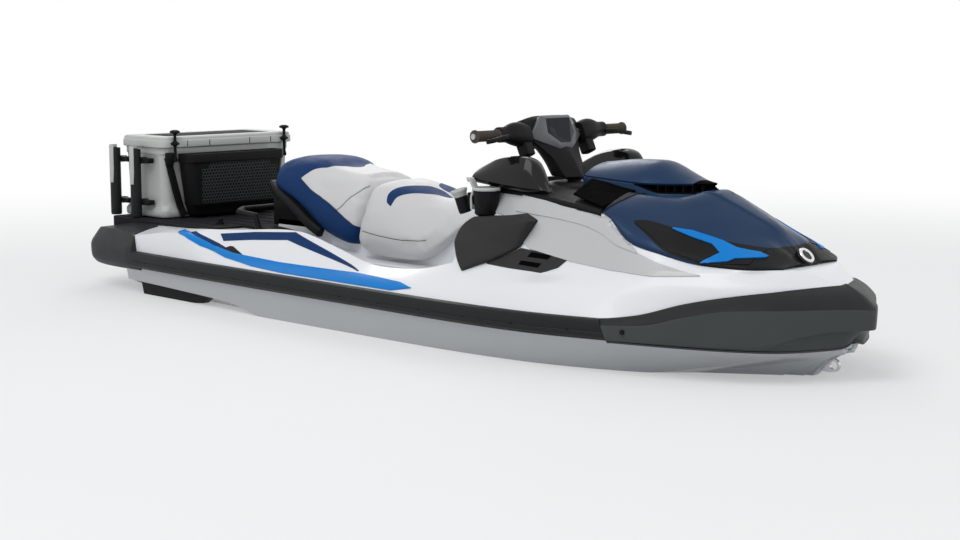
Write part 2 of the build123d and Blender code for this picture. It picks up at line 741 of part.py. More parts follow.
def build_cooler_body():
    x = cooler_span()
    half = COOLER_HALF_WIDTH
    foot = cooler_foot_z()
    rim = cooler_rim_z()
    body = block((x[0] + 6, x[1] - 6), (-half + 6, half - 6), (foot + 40, rim))
    flare = block(x, (-half, half), (foot, foot + 44))
    flare = chamfer(flare.faces().sort_by(Axis.Z)[-1].edges(), 5)
    inside = block((x[0] + COOLER_WALL, x[1] - COOLER_WALL),
                   (-half + COOLER_WALL, half - COOLER_WALL), (foot + COOLER_WALL + 6, rim + 5))
    return body + flare - inside


def build_cooler_lid():
    x = cooler_span()
    half = COOLER_HALF_WIDTH + LID_OVERHANG
    low = cooler_rim_z() + LID_GAP
    lid = block((x[0], x[1] + LID_OVERHANG), (-half, half), (low, low + COOLER_LID_THICK))
    lid = fillet(lid.edges().filter_by(Axis.Z), 24)
    return chamfer(lid.faces().sort_by(Axis.Z)[-1].edges(), 8)


def build_latches():
    """Rubber T-latches, pinned to the lid and hooked over the body's front lip."""
    latches = []
    front = cooler_span()[1] + LID_OVERHANG
    low = cooler_rim_z() + LID_GAP
    for side in (1, -1):
        middle = side * (COOLER_HALF_WIDTH - LATCH_INSET)
        y = (middle - 11, middle + 11)
        strap = block((front + GAP, front + 14), y, (low - 62, low + 60))
        head = block((front - 8, front + 22), (y[0] - 10, y[1] + 10), (low + 52, low + 70))
        latches.append(strap + head)
    return latches


def build_basket():
    """Open-topped net basket on the cooler's front face."""
    back = cooler_span()[1] + LID_OVERHANG + 1.0
    x = (back, back + BASKET_DEPTH)
    foot = cooler_foot_z()
    outer = block(x, BASKET_Y, (foot, foot + BASKET_HEIGHT))
    wall = BASKET_WALL
    inner = block((x[0] + wall, x[1] - wall), (BASKET_Y[0] + wall, BASKET_Y[1] - wall),
                  (foot + wall, foot + BASKET_HEIGHT + 5))
    return outer - inner


def build_strap():
    front = cooler_span()[1]
    low = cooler_foot_z() + 46
    face = make_face(Plane.YZ * Polyline([(-345, low + 235), (-318, low + 235),
                                          (-292, low + 20), (-319, low + 20)], close=True))
    return Pos(front - 6 + GAP, 0, 0) * extrude(face, 5, dir=(1, 0, 0))


def build_rod_tubes():
    tubes = []
    y = -(COOLER_HALF_WIDTH + LID_OVERHANG + TUBE_GAP + TUBE_RADIUS)
    for x in TUBE_X:
        place = Pos((COOLER_X[0] * SX) + (x - COOLER_X[0]), y, cooler_foot_z())
        tubes.append(rod(TUBE_RADIUS, TUBE_HEIGHT, place)
                     - rod(TUBE_BORE, TUBE_HEIGHT, place * Pos(0, 0, 15)))
    return tubes


def build_tube_brackets(tubes, body):
    pieces = []
    y_out = -(COOLER_HALF_WIDTH + LID_OVERHANG + TUBE_GAP + TUBE_RADIUS)
    x0 = (COOLER_X[0] * SX) - COOLER_X[0]
    for height in (90.0, 235.0):
        z = cooler_foot_z() + height
        bar = block((TUBE_X[0] - 20 + x0, TUBE_X[1] + 20 + x0),
                    (y_out, -COOLER_HALF_WIDTH + 6 - GAP), (z, z + 26))
        for tube in tubes:
            bar = bar - tube
        for x in TUBE_X:
            bar = bar - rod(TUBE_BORE + 2, 60, Pos(x + x0, y_out, z - 10))
        pieces.extend(bar.solids())
    return pieces


def build_anchors():
    """Quick-release anchors for accessories, ahead of the cooler."""
    anchors = []
    for side in (1, -1):
        place = Pos(-1180 * SX, side * 300 * SY, mat_level() + GAP)
        post = rod(20, 8, place) + rod(12, 26, place)
        anchors.append(post)
    return anchors


# ---- holders ------------------------------------------------------------------------------------
def cup_place():
    return Pos(CUP_X * SX, CUP_Y * SY, CUP_BASE_Z)


def rod_place():
    return Pos(ROD_X * SX, CUP_Y * SY, ROD_BASE_Z) * Rot(0, -ROD_TILT, 0)


def holder_pockets():
    """Room for the cup and front rod holders, let into what stands round them."""
    return (rod(CUP_RADIUS + GAP, CUP_HEIGHT, cup_place())
            + rod(ROD_RADIUS + GAP, ROD_HEIGHT, rod_place()))


def build_cup_holder():
    place = cup_place() * Pos(0, 0, HOLDER_FLOOR)
    return rod(CUP_RADIUS, CUP_HEIGHT, cup_place()) - rod(CUP_BORE, CUP_HEIGHT, place)


def build_rod_holder(others):
    place = rod_place()
    floor = place * Pos(0, 0, ROD_HEIGHT - ROD_DEPTH)
    tube = rod(ROD_RADIUS, ROD_HEIGHT, place) - rod(ROD_BORE, ROD_HEIGHT, floor)
    arm = block((ROD_X * SX + 14, CUP_X * SX - CUP_RADIUS - GAP),
                (CUP_Y * SY - 14, CUP_Y * SY + 14), (ROD_BASE_Z + 30, ROD_BASE_Z + 80))
    for other in others:
        arm = arm - other
    return tube + (arm - rod(ROD_BORE + 2, ROD_HEIGHT, floor))


# ---- jet pump and stern gear --------------------------------------------------------------------
def pivot_lugs():
    """Lugs behind the pump: top and bottom for the nozzle, port and starboard for the bucket."""
    pivot = NOZZLE_PIVOT_X
    x = (pivot - 16, PUMP_X[0] + 8)
    nozzle_bore = rod(NOZZLE_PIN + GAP, 300, Pos(pivot, 0, PUMP_Z - 150))
    lugs = Part()
    for side in (1, -1):
        z = sorted([PUMP_Z + side * (NOZZLE_RADIUS + 6), PUMP_Z + side * PUMP_RADIUS])
        lugs += block(x, (-17, 17), z) - nozzle_bore
        y = sorted([side * (NOZZLE_RADIUS + 14), side * (PUMP_RADIUS - 2)])
        lugs += block(x, y, (PUMP_Z - 14, PUMP_Z + 14))
        foot = side * (PUMP_RADIUS - 8)
        start = foot if side > 0 else -BUCKET_HALF_WIDTH
        lugs += rod(BUCKET_PIN, BUCKET_HALF_WIDTH - abs(foot), along_y(pivot, start, PUMP_Z))
    return lugs


def build_pump_housing():
    place = along_x(PUMP_X[0], 0, PUMP_Z)
    length = PUMP_X[1] - PUMP_X[0]
    tube = rod(PUMP_RADIUS, length, place) - rod(PUMP_BORE, length + 20, Pos(-10, 0, 0) * place)
    front = PUMP_X[1]
    flange = block((front, TUNNEL_X - GAP), (-TUNNEL_HALF_WIDTH + GAP, TUNNEL_HALF_WIDTH - GAP),
                   (PUMP_Z - 95, PUMP_Z + TUNNEL_HALF_WIDTH - GAP))
    flange -= rod(PUMP_BORE, 200, along_x(front - 50, 0, PUMP_Z))
    hub = rod(30, HUB_LENGTH, along_x(PUMP_X[0] + 8, 0, PUMP_Z))
    hub -= rod(SHAFT_RADIUS + GAP, HUB_LENGTH, along_x(PUMP_X[0] + 40, 0, PUMP_Z))
    vanes = [hub]
    for angle in range(0, 360, 72):
        turn = Pos(0, 0, PUMP_Z) * Rot(angle, 0, 0) * Pos(0, 0, -PUMP_Z)
        vanes.append(turn * block((PUMP_X[0] + 12, PUMP_X[0] + 60), (-3, 3),
                                  (PUMP_Z + 25, PUMP_Z + PUMP_BORE + 4)))
    body = tube + flange
    for vane in vanes:
        body = body + vane
    return body + pivot_lugs()


def build_impeller():
    place = along_x(IMPELLER_X - 30, 0, PUMP_Z)
    hub = rod(28, 60, place)
    shaft = rod(SHAFT_RADIUS, 270, along_x(IMPELLER_X - 90, 0, PUMP_Z))
    body = hub + shaft
    for angle in range(0, 360, 90):
        blade = block((IMPELLER_X - 26, IMPELLER_X + 26), (-4, 4),
                      (PUMP_Z + 20, PUMP_Z + IMPELLER_RADIUS))
        blade = Pos(IMPELLER_X, 0, PUMP_Z) * Rot(angle, 0, 0) * Rot(0, 0, 32) \
            * Pos(-IMPELLER_X, 0, -PUMP_Z) * blade
        body = body + blade
    ring = rod(IMPELLER_RADIUS, 80, along_x(IMPELLER_X - 40, 0, PUMP_Z))
    return body & (ring + rod(SHAFT_RADIUS + 1, 400, along_x(IMPELLER_X - 200, 0, PUMP_Z)))


def build_nozzle():
    x = NOZZLE_PIVOT_X
    place = along_x(x - NOZZLE_LENGTH, 0, PUMP_Z)
    tube = rod(NOZZLE_RADIUS, NOZZLE_LENGTH + 12, place)
    bore = rod(NOZZLE_BORE, NOZZLE_LENGTH + 40, Pos(-10, 0, 0) * place)
    reach = NOZZLE_RADIUS + 17
    ears = rod(NOZZLE_PIN, 2 * reach, Pos(x, 0, PUMP_Z - reach))
    return tube + ears - bore


def build_reverse_bucket():
    """Curved deflector over the nozzle, on two side arms."""
    x = NOZZLE_PIVOT_X
    half = BUCKET_HALF_WIDTH
    centre = along_y(x, -half, PUMP_Z)
    shell = rod(BUCKET_RADIUS, 2 * half, centre) - rod(BUCKET_RADIUS - BUCKET_WALL, 2 * half, centre)
    wedge = make_face(Plane.XZ * Polyline([(x - 40, PUMP_Z + 70), (x - 300, PUMP_Z + 90),
                                           (x - 300, 100), (x + 30, 100)], close=True))
    keep = extrude(wedge, 300, both=True)
    body = shell & keep
    for side in (1, -1):
        y = (half - 8, half) if side > 0 else (-half, -half + 8)
        arm = make_face(Plane.XZ * Polyline([(x + 14, PUMP_Z - 16), (x - 16, PUMP_Z - 16),
                                             (x - 88, PUMP_Z + 76), (x - 6, PUMP_Z + 118),
                                             (x + 14, PUMP_Z + 80)], close=True))
        body = body + (extrude(arm, 300, both=True) & block((-3000, 0), y, (-500, 100)))
    return body - rod(BUCKET_PIN + GAP, 2 * half + 20, along_y(x, -half - 10, PUMP_Z))


def build_ride_plate():
    top = PUMP_Z - 95 - GAP
    return block((PUMP_X[0] + 4, TUNNEL_X - 2 - GAP),
                 (-TUNNEL_HALF_WIDTH + GAP, TUNNEL_HALF_WIDTH - GAP), (top - PLATE_THICK, top))


def build_intake_grate(hull):
    """Tines fixed at the duct's front edge, which follow the bottom's vee."""
    tines = []
    for y in (-60, -30, 0, 30, 60):
        tine = jet_cut([(-1150, -280), (-1150, -266), (-700, -290), (-700, -304)], 4.0)
        tines.append(Pos(0, y, abs(y) * 0.45) * tine - hull)
    return tines


def build_sponsons(hull):
    fins = []
    for side in (1, -1):
        face = make_face(Plane.XZ * Polyline([(-1412 * SX, 70), (-1378 * SX, -34),
                                              (-1330 * SX, -30), (-960 * SX, 6),
                                              (-900 * SX, 44)], close=True))
        body = extrude(face, 700, both=True)
        y = (528 * SY, 556 * SY) if side > 0 else (-556 * SY, -528 * SY)
        fins.append(body & block((-3000, 0), y, (-200, 200)))
    return [fin - hull for fin in fins]


def build_bow_eye(hull):
    x = 1700 * SX
    z = 40.0
    plate = block((x - 30, x + 8), (-EYE_THICK / 2, EYE_THICK / 2), (z - 24, z + 24))
    eye = Pos(x + 18, 0, z) * Rot(90, 0, 0) * Cylinder(EYE_RADIUS, EYE_THICK)
    hole = Pos(x + 18, 0, z) * Rot(90, 0, 0) * Cylinder(EYE_BORE, EYE_THICK + 20)
    return plate + eye - hole - hull


def transom_eye(y, z, turn=0.0):
    """Eye on a plate on the transom, flat or turned about the keel line."""
    x = TRANSOM_X * SX - GAP
    plate = block((x - 6, x), (y - 20, y + 20), (z - 25, z + 25))
    eye = Pos(x - 26, y, z) * Rot(turn, 0, 0) * Cylinder(EYE_RADIUS, EYE_THICK)
    hole = Pos(x - 28, y, z) * Rot(turn, 0, 0) * Cylinder(EYE_BORE, EYE_THICK + 20)
    return plate + eye - hole


def build_stern_eyes():
    return [transom_eye(side * 330 * SY, 25) for side in (1, -1)]


def build_tow_hook():
    return transom_eye(0.0, TOW_EYE_Z, turn=90)


def build_step():
    """U-shaped boarding step, folded up under the platform."""
    x = STEP_HINGE_X * SX
    z = STEP_HINGE_Z
    bar = STEP_BAR
    half = STEP_HALF_WIDTH
    legs = []
    for side in (1, -1):
        legs.append(rod(bar, STEP_REACH, along_x(x, side * half, z)))
    cross = rod(bar + 3, 2 * half + 20, along_y(x + STEP_REACH, -half - 10, z))
    pivot = rod(bar, 2 * half + 64, along_y(x, -half - 32, z))
    body = cross + pivot
    for leg in legs:
        body = body + leg
    return body


# ---- writing ------------------------------------------------------------------------------------
def solids_of(shape):
    """Every solid in a shape, list or group of shapes."""
    if isinstance(shape, (list, tuple)):
        return [solid for item in shape for solid in solids_of(item)]
    return list(shape.solids())


def write(nodes):
    os.makedirs("parts", exist_ok=True)
    for name, shape in nodes.items():
        solids = solids_of(shape)
        whole = solids[0] if len(solids) == 1 else Compound(children=solids)
        export_step(whole, f"parts/{name}.step")


def build():
    hull = build_hull()
    pockets = holder_pockets()
    deck = build_deck() - pockets
    console = build_console(deck) - pockets
    hood_form = hood_outside(foredeck())
    trims = build_side_trims(hood_form)
    pads = [pad - pockets for pad in build_knee_pads(deck, console)]
    seat = build_passenger_seat(deck)
    cover = build_gauge_cover()
    body = build_cooler_body()
    tubes = build_rod_tubes()
    cup = build_cup_holder()
    vents = build_deck_vents(deck)
    lowered = Pos(0, 0, -LID_GAP) * hood_form
    return {
        "hull": hull,
        "deck": deck,
        "rub_rails": build_rub_rails(deck),
        "front_bumper": build_front_bumper(deck, hull),
        "rear_bumper": build_rear_bumper(deck, hull),
        "gunwale_trims": build_gunwale_trims(deck),
        "footwell_mats": build_footwell_mats(),
        "platform_mat": build_platform_mat(deck),
        "side_panels": build_side_panels(deck, pads + vents + [console, hood_form, lowered]),
        "knee_pads": pads,
        "deck_vents": vents,
        "console": console,
        "mirrors": build_mirrors(console),
        "driver_seat": build_driver_seat(deck),
        "passenger_seat": seat,
        "rear_grab_handle": build_grab_handle(deck, seat),
        "steering_base": build_steering_base(console, deck),
        "cup_holder": cup,
        "front_rod_holder": build_rod_holder(pads + [deck, console, cup]),
        "cooler_body": body,
        "cooler_basket": build_basket(),
        "cooler_strap": build_strap(),
        "rod_tubes": tubes,
        "rod_tube_brackets": build_tube_brackets(tubes, body),
        "accessory_anchors": build_anchors(),
        "bow_eye": build_bow_eye(hull),
        "stern_eyes": build_stern_eyes(),
        "tow_hook": build_tow_hook(),
        "pump_housing": build_pump_housing(),
        "ride_plate": build_ride_plate(),
        "intake_grate": build_intake_grate(hull),
        "sponsons": build_sponsons(hull),
        "engine": build_engine(),
        "steering_column": build_column(),
        "handlebar": build_handlebar(),
        "handlebar_grips": build_grips(),
        "switch_housings": build_switch_housings(cover),
        "control_levers": build_levers(),
        "gauge_cover": cover,
        "hood": build_hood(hood_form),
        "hood_side_trims": trims,
        "hood_accents": build_accents(hood_form, solids_of(trims)),
        "hood_vents": build_hood_vents(hood_form),
        "hood_badge": build_badge(hood_form),
        "glove_box_lid": build_glove_lid(),
        "cooler_lid": build_cooler_lid(),
        "cooler_latches": build_latches(),
        "impeller": build_impeller(),
        "steering_nozzle": build_nozzle(),
        "reverse_bucket": build_reverse_bucket(),
        "boarding_step": build_step(),
    }


write(build())
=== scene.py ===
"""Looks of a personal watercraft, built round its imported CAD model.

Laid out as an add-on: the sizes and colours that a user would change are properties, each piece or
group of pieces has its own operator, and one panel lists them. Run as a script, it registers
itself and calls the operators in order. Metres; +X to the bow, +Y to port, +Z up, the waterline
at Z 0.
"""
import json
import math

import bmesh
import bpy
from mathutils import Matrix, Vector
from mathutils.bvhtree import BVHTree


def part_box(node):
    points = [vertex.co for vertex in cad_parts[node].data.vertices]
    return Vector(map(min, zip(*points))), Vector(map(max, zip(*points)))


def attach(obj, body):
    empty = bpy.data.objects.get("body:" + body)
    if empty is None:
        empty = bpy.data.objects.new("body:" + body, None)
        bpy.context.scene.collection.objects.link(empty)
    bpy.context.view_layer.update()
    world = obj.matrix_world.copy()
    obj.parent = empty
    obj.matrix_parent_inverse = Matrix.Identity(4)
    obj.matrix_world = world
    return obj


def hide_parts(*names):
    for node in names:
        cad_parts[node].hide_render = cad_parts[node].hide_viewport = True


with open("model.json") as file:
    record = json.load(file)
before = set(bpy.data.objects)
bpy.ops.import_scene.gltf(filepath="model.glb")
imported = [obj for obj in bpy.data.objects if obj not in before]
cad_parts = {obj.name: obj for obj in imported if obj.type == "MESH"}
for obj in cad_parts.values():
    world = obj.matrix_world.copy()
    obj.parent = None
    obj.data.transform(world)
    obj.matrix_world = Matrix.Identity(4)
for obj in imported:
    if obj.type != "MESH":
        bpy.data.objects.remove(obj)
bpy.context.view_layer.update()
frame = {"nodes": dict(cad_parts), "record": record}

bl_info = {"name": "Personal watercraft", "version": (1, 0, 0), "blender": (4, 5, 0),
    "location": "3D View > Sidebar > Watercraft",
    "description": "Builds a three-seat watercraft with a cooler box round its packed model",
    "category": "Add Mesh", }


# ---- settings -----------------------------------------------------------------------------------
def colour(name, description, value):
    return bpy.props.FloatVectorProperty(name=name, description=description, subtype="COLOR",
        size=3, min=0.0, max=1.0, default=value)


class WatercraftColours(bpy.types.PropertyGroup):
    """Paint and moulding colours."""
    deck: colour("Deck", "Gelcoat of the deck", (0.8, 0.82, 0.85))
    hull: colour("Hull", "Gelcoat of the hull", (0.45, 0.47, 0.49))
    navy: colour("Navy", "Paint of the front hood", (0.01, 0.033, 0.086))
    accent: colour("Accent", "Light blue trims", (0, 0.2, 0.62))
    charcoal: colour("Charcoal", "Bumpers and rub rails", (0.022, 0.024, 0.025))
    panel: colour("Panel", "Grey side panels", (0.5, 0.51, 0.52))
    seat: colour("Seat vinyl", "Light vinyl of the seats", (0.62, 0.62, 0.63))
    cooler: colour("Cooler", "Moulded cooler box", (0.5, 0.51, 0.5))


class WatercraftStage(bpy.types.PropertyGroup):
    """Floor, lights and camera."""
    floor: colour("Floor", "Pale studio floor at the waterline", (0.8, 0.81, 0.82))
    sky_light: bpy.props.FloatProperty(name="Sky light",
        description="Strength of the soft light from all round", default=0.55, min=0.0)
    lamp_power: bpy.props.FloatProperty(name="Lamp power",
        description="Key lamp, in watts; the others follow it", unit="POWER", default=260.0,
        min=0.0)
    camera_place: bpy.props.FloatVectorProperty(name="Camera",
        description="Where the camera stands", subtype="TRANSLATION", default=(4.735, -4.64, 1.1))
    camera_turn: bpy.props.FloatProperty(name="Azimuth",
        description="Which way the camera looks, round the craft", unit="ROTATION",
        default=math.radians(45.0))
    camera_pitch: bpy.props.FloatProperty(name="Pitch", description="How far the camera looks down",
        unit="ROTATION", default=math.radians(7.87))
    lens: bpy.props.FloatProperty(name="Lens",
        description="Focal length on a 36 mm sensor, in millimetres", default=63.75, min=10.0)


# ---- materials ----------------------------------------------------------------------------------
PEEL_DEPTH = 0.00012  # bump of the orange peel, in metres
PEBBLE_STRENGTH = 0.6
STREAKS = (40, 900, 900)  # brushing, across X


def sheen(base):
    """Dark and strongly coloured mouldings throw back less of a pale room."""
    # The near-black finish, painted shade in the intakes and vent slots, reflects almost nothing.
    if max(base) < 0.004:
        return 0.02
    return 0.1 if min(base) < 0.08 else 0.5


def add_node(tree, kind, inputs={}, **settings):
    """Node with its settings and the values of its inputs."""
    node = tree.nodes.new(kind)
    for name, value in settings.items():
        setattr(node, name, value)
    for name, value in inputs.items():
        node.inputs[name].default_value = value
    return node


def join(tree, *links):
    """Links, each as a node with its output and a node with its input."""
    for source, output, target, entry in links:
        tree.links.new(source.outputs[output], target.inputs[entry])


def new_material(name):
    material = bpy.data.materials.new(name)
    material.use_nodes = True
    return material, material.node_tree, material.node_tree.nodes["Principled BSDF"]


def add_noise(tree, scale, detail=3.0, offset=(0, 0, 0), stretch=(1, 1, 1)):
    """Noise on Object coordinates, moved by offset and stretched."""
    coords = add_node(tree, "ShaderNodeTexCoord")
    mapping = add_node(tree, "ShaderNodeMapping", {"Location": offset, "Scale": stretch})
    noise = add_node(tree, "ShaderNodeTexNoise", {"Scale": scale, "Detail": detail})
    join(tree, (coords, "Object", mapping, "Vector"), (mapping, "Vector", noise, "Vector"))
    return noise.outputs["Fac"]


def add_range(tree, value, low, high):
    """Maps 0 to 1 onto low to high."""
    mapped = add_node(tree, "ShaderNodeMapRange", {"To Min": low, "To Max": high})
    tree.links.new(value, mapped.inputs["Value"])
    return mapped.outputs["Result"]


def add_tint(tree, factor, base, share):
    """Colour that drifts between two shades of base."""
    shades = {"A": [c * (1 - share) for c in base] + [1], "B": [min(1.0, c * (1 + share))
        for c in base] + [1]}
    mix = add_node(tree, "ShaderNodeMix", shades, data_type="RGBA")
    tree.links.new(factor, mix.inputs["Factor"])
    return mix.outputs["Result"]


def add_bump(tree, height, distance, strength=1.0):
    """Bump normal from a height."""
    bump = add_node(tree, "ShaderNodeBump", {"Distance": distance, "Strength": strength})
    tree.links.new(height, bump.inputs["Height"])
    return bump.outputs["Normal"]


def feed(tree, shader, **sources):
    """Links outputs into the shader's inputs, named with _ for a space."""
    for name, output in sources.items():
        tree.links.new(output, shader.inputs[name.replace("_", " ")])


def gloss_moulding(name, base, roughness=0.18, coat=0.6, share=0.03, metallic=0.0):
    """Gelcoat or painted moulding: faint drift in colour, orange peel and fine scuffs."""
    material, tree, shader = new_material(name)
    tint = add_tint(tree, add_noise(tree, 3.0), base, share)
    scuff = add_noise(tree, 60.0, 6.0, (3.1, 0, 1.7))
    feed(tree, shader, Base_Color=tint, Roughness=add_range(tree, scuff,
        roughness * 0.7, roughness * 1.4), Normal=add_bump(tree, add_noise(tree, 260.0, 2.0),
        PEEL_DEPTH))
    shader.inputs["Specular IOR Level"].default_value = sheen(base)
    shader.inputs["Metallic"].default_value = metallic
    shader.inputs["Coat Weight"].default_value = coat
    shader.inputs["Coat Roughness"].default_value = 0.06
    return material


def grained_moulding(name, base, roughness=0.55, grain=900.0, depth=0.0004, share=0.12):
    """Satin moulded plastic or rubber with a fine pebble grain."""
    material, tree, shader = new_material(name)
    shader.inputs["Specular IOR Level"].default_value = sheen(base)
    tint = add_tint(tree, add_noise(tree, 5.0), base, share)
    coords = add_node(tree, "ShaderNodeTexCoord")
    pebble = add_node(tree, "ShaderNodeTexVoronoi", {"Scale": grain})
    join(tree, (coords, "Object", pebble, "Vector"))
    worn = add_noise(tree, 24.0, 5.0, (1.3, 2, 0.4))
    feed(tree, shader, Base_Color=tint, Roughness=add_range(tree, worn,
        roughness * 0.8, roughness * 1.2), Normal=add_bump(tree, pebble.outputs["Distance"], depth,
        PEBBLE_STRENGTH))
    return material


def brushed_metal(name, base, roughness=0.3):
    """Metal with fine streaks across it."""
    material, tree, shader = new_material(name)
    streaks = add_noise(tree, 1.0, 2.0, stretch=STREAKS)
    feed(tree, shader, Roughness=add_range(tree, streaks, roughness * 0.7, roughness * 1.5),
        Base_Color=add_tint(tree, streaks, base, 0.06))
    shader.inputs["Metallic"].default_value = 1.0
    return material


BLACK = (0.008, 0.008, 0.009)


def make_finishes(colours):
    """One material for each finish, keyed by the record's slot where it has one."""
    made = {}
    gloss, grained, metal = gloss_moulding, grained_moulding, brushed_metal
    made["deck_white"] = gloss("deck_gelcoat", colours.deck, 0.32, 0.25)
    made["hull_grey"] = gloss("hull_gelcoat", colours.hull)
    made["hood_navy"] = gloss("hood_paint", colours.navy, 0.34, 0.1, 0.06, 0.2)
    made["light_blue"] = gloss("accent_paint", colours.accent, 0.35, 0.1)
    made["panel_grey"] = gloss("panel_paint", colours.panel, 0.3, 0.3)
    made["black_satin"] = gloss("black_satin", BLACK, 0.42, 0.0)
    made["black_gloss"] = gloss("black_gloss", (0.006, 0.006, 0.007), 0.16, 0.35)
    made["pod_grey"] = gloss("pod_face", (0.085, 0.088, 0.095), 0.35, 0.1)
    made["dark_glass"] = gloss("dark_glass", (0.006, 0.008, 0.013), 0.12, 0.2)
    made["rail_charcoal"] = grained("rail_moulding", colours.charcoal, 0.42, 700.0)
    # Lighter grey: a painted reflection on the bow bumper's side faces, and the own grey of
    # buttons, net and stitches.
    made["bumper_side"] = grained("bumper_side", (0.062, 0.07, 0.07), 0.42, 700.0)
    made["black_plastic"] = grained("black_moulding", BLACK, 0.45)
    made["basket_black"] = grained("basket_moulding", BLACK, 0.5)
    # Near-black without sheen: painted shade in the cowl's intakes and the vent slots, and the
    # black of the V plates.
    made["recess"] = grained("recess", (0.002, 0.002, 0.002), 0.9)
    made["seat_vinyl"] = grained("seat_vinyl", colours.seat, 0.5, 620.0, 0.0004, 0.03)
    made["seat_navy"] = grained("seat_navy", (0.006, 0.034, 0.125), 0.55, 620.0, 0.0004, 0.03)
    made["cooler_grey"] = grained("cooler_moulding", colours.cooler, 0.5, 420.0, 0.0003, 0.05)
    made["mat_grey"] = grained("footwell_mat", (0.1, 0.1, 0.11), 0.8, 300.0, 0.001)
    made["mat_black"] = grained("platform_mat", (0.016, 0.016, 0.018), 0.75, 300.0, 0.001)
    made["knee_charcoal"] = grained("knee_pad", (0.035, 0.034, 0.034), 0.6, 500.0, 0.0006)
    made["grip_rubber"] = grained("grip_rubber", (0.075, 0.062, 0.05), 0.6, 350.0, 0.001)
    made["latch_rubber"] = grained("latch_rubber", BLACK, 0.65, 450.0, 0.0006)
    made["strap_webbing"] = grained("strap_webbing", BLACK, 0.7, 500.0, 0.0008)
    made["engine_grey"] = grained("engine_casting", (0.2, 0.2, 0.21), 0.5, 200.0, 0.001)
    made["steel"] = metal("stainless", (0.62, 0.62, 0.64), 0.22)
    made["aluminium"] = metal("cast_aluminium", (0.5, 0.51, 0.53), 0.45)
    made["badge_silver"] = metal("badge_metal", (0.75, 0.75, 0.76), 0.2)
    return made


def slot_of(node):
    """The record's material slot of a CAD node."""
    for part in frame["record"]["subparts"]:
        if part["node"] == node:
            return part["material_slot"]
    raise ValueError(f"no slot for {node}")


def dress_frame(finishes):
    """Gives every carried-over CAD node its finish."""
    for name, node in frame["nodes"].items():
        node.data.materials.clear()
        node.data.materials.append(finishes[slot_of(name)])


# ---- mesh helpers -------------------------------------------------------------------------------
def curve(points):
    """Smooth curve through a few (x, y) points, which never overshoots them."""
    xs, ys = zip(*points)
    steps = [b - a for a, b in zip(xs, xs[1:])]
    slopes = [(b - a) / h for a, b, h in zip(ys, ys[1:], steps)]
    inner = [2 * p * q / (p + q) if p * q > 0 else 0.0 for p, q in zip(slopes, slopes[1:])]
    rates = [slopes[0]] + inner + [slopes[-1]]

    def value(x):
        x = min(max(x, xs[0]), xs[-1])
        k = max(i for i in range(len(steps)) if x >= xs[i])
        h = steps[k]
        t = (x - xs[k]) / h
        rise = ys[k + 1] - ys[k]
        bend = rates[k] * h * t * (1 - t) ** 2 - rates[k + 1] * h * t * t * (1 - t)
        return ys[k] + rise * t * t * (3 - 2 * t) + bend

    return value


def lerp(a, b, t):
    return a + (b - a) * t


def spread(low, high, count):
    """Evenly spaced values, both ends included."""
    return [lerp(low, high, i / (count - 1)) for i in range(count)]


def trail(points, count):
    """Evenly spaced places along a smooth curve through 3-D points."""
    points = [Vector(p) for p in points]
    runs = [0]
    for a, b in zip(points, points[1:]):
        runs.append(runs[-1] + (b - a).length)
    axes = [curve([(s, p[k]) for s, p in zip(runs, points)]) for k in range(3)]
    return [Vector([axis(s) for axis in axes]) for s in spread(0.0, runs[-1], count)]


def crease_layer(bm):
    """Edge creases of a mesh, made if it has none."""
    layers = bm.edges.layers.float
    return layers.get("crease_edge") or layers.new("crease_edge")


def skin(columns, rows={}, ends={}, closed=False):
    """Quads between columns of points. rows and ends crease those rows and columns."""
    bm = bmesh.new()
    layer = crease_layer(bm)
    grid = [[bm.verts.new(p) for p in column] for column in columns]
    size = len(columns[0])
    for a, b in zip(grid, grid[1:]):
        for k in range(size if closed else size - 1):
            j = (k + 1) % size
            bm.faces.new((a[k], a[j], b[j], b[k]))
        for k, weight in rows.items():
            edge = bm.edges.get((a[k], b[k]))
            if edge:
                edge[layer] = weight
    for i, weight in ends.items():
        for k in range(size if closed else size - 1):
            edge = bm.edges.get((grid[i][k], grid[i][(k + 1) % size]))
            if edge:
                edge[layer] = weight
    return bm, grid


MERGE_GAP = 1e-5


def tidy(bm):
    """Merges doubles and turns every face outwards."""
    bmesh.ops.remove_doubles(bm, verts=bm.verts[:], dist=MERGE_GAP)
    bmesh.ops.dissolve_degenerate(bm, edges=bm.edges[:], dist=MERGE_GAP / 2)
    bmesh.ops.recalc_face_normals(bm, faces=bm.faces[:])
    return bm


def both_sides(bm):
    """Adds the mirror image across the centreline, merged where the two meet."""
    bmesh.ops.mirror(bm, geom=bm.verts[:] + bm.edges[:] + bm.faces[:], matrix=Matrix.Identity(4),
        merge_dist=MERGE_GAP, axis="Y")
    return tidy(bm)


def cap(bm, ring, crease=1.0):
    """Closes a ring of vertices with one face."""
    layer = crease_layer(bm)
    face = bm.faces.new(ring)
    for edge in face.edges:
        edge[layer] = crease


def capped(bm, grid, near=1.0, far=1.0):
    """Closes both ends of a skin; near and far crease those ends."""
    cap(bm, grid[0], near)
    cap(bm, grid[-1][::-1], far)
    return bm


def shell(columns, rows={}, ends={}, near=1.0, far=1.0):
    """Closed skin with a face over each end."""
    return tidy(capped(*skin(columns, rows, ends, closed=True), near, far))


def station(x, points, side=1):
    """Places across the craft at one station, from (width, height) points."""
    return [Vector((x, side * y, z)) for y, z in points]


def combine(*meshes):
    """One mesh from several, which are used up."""
    whole = bmesh.new()
    crease_layer(whole)
    for part in meshes:
        holder = bpy.data.meshes.new("part")
        part.to_mesh(holder)
        whole.from_mesh(holder)
        bpy.data.meshes.remove(holder)
        part.free()
    return whole


def moved(bm, matrix):
    bmesh.ops.transform(bm, matrix=matrix, verts=bm.verts[:])
    return bm


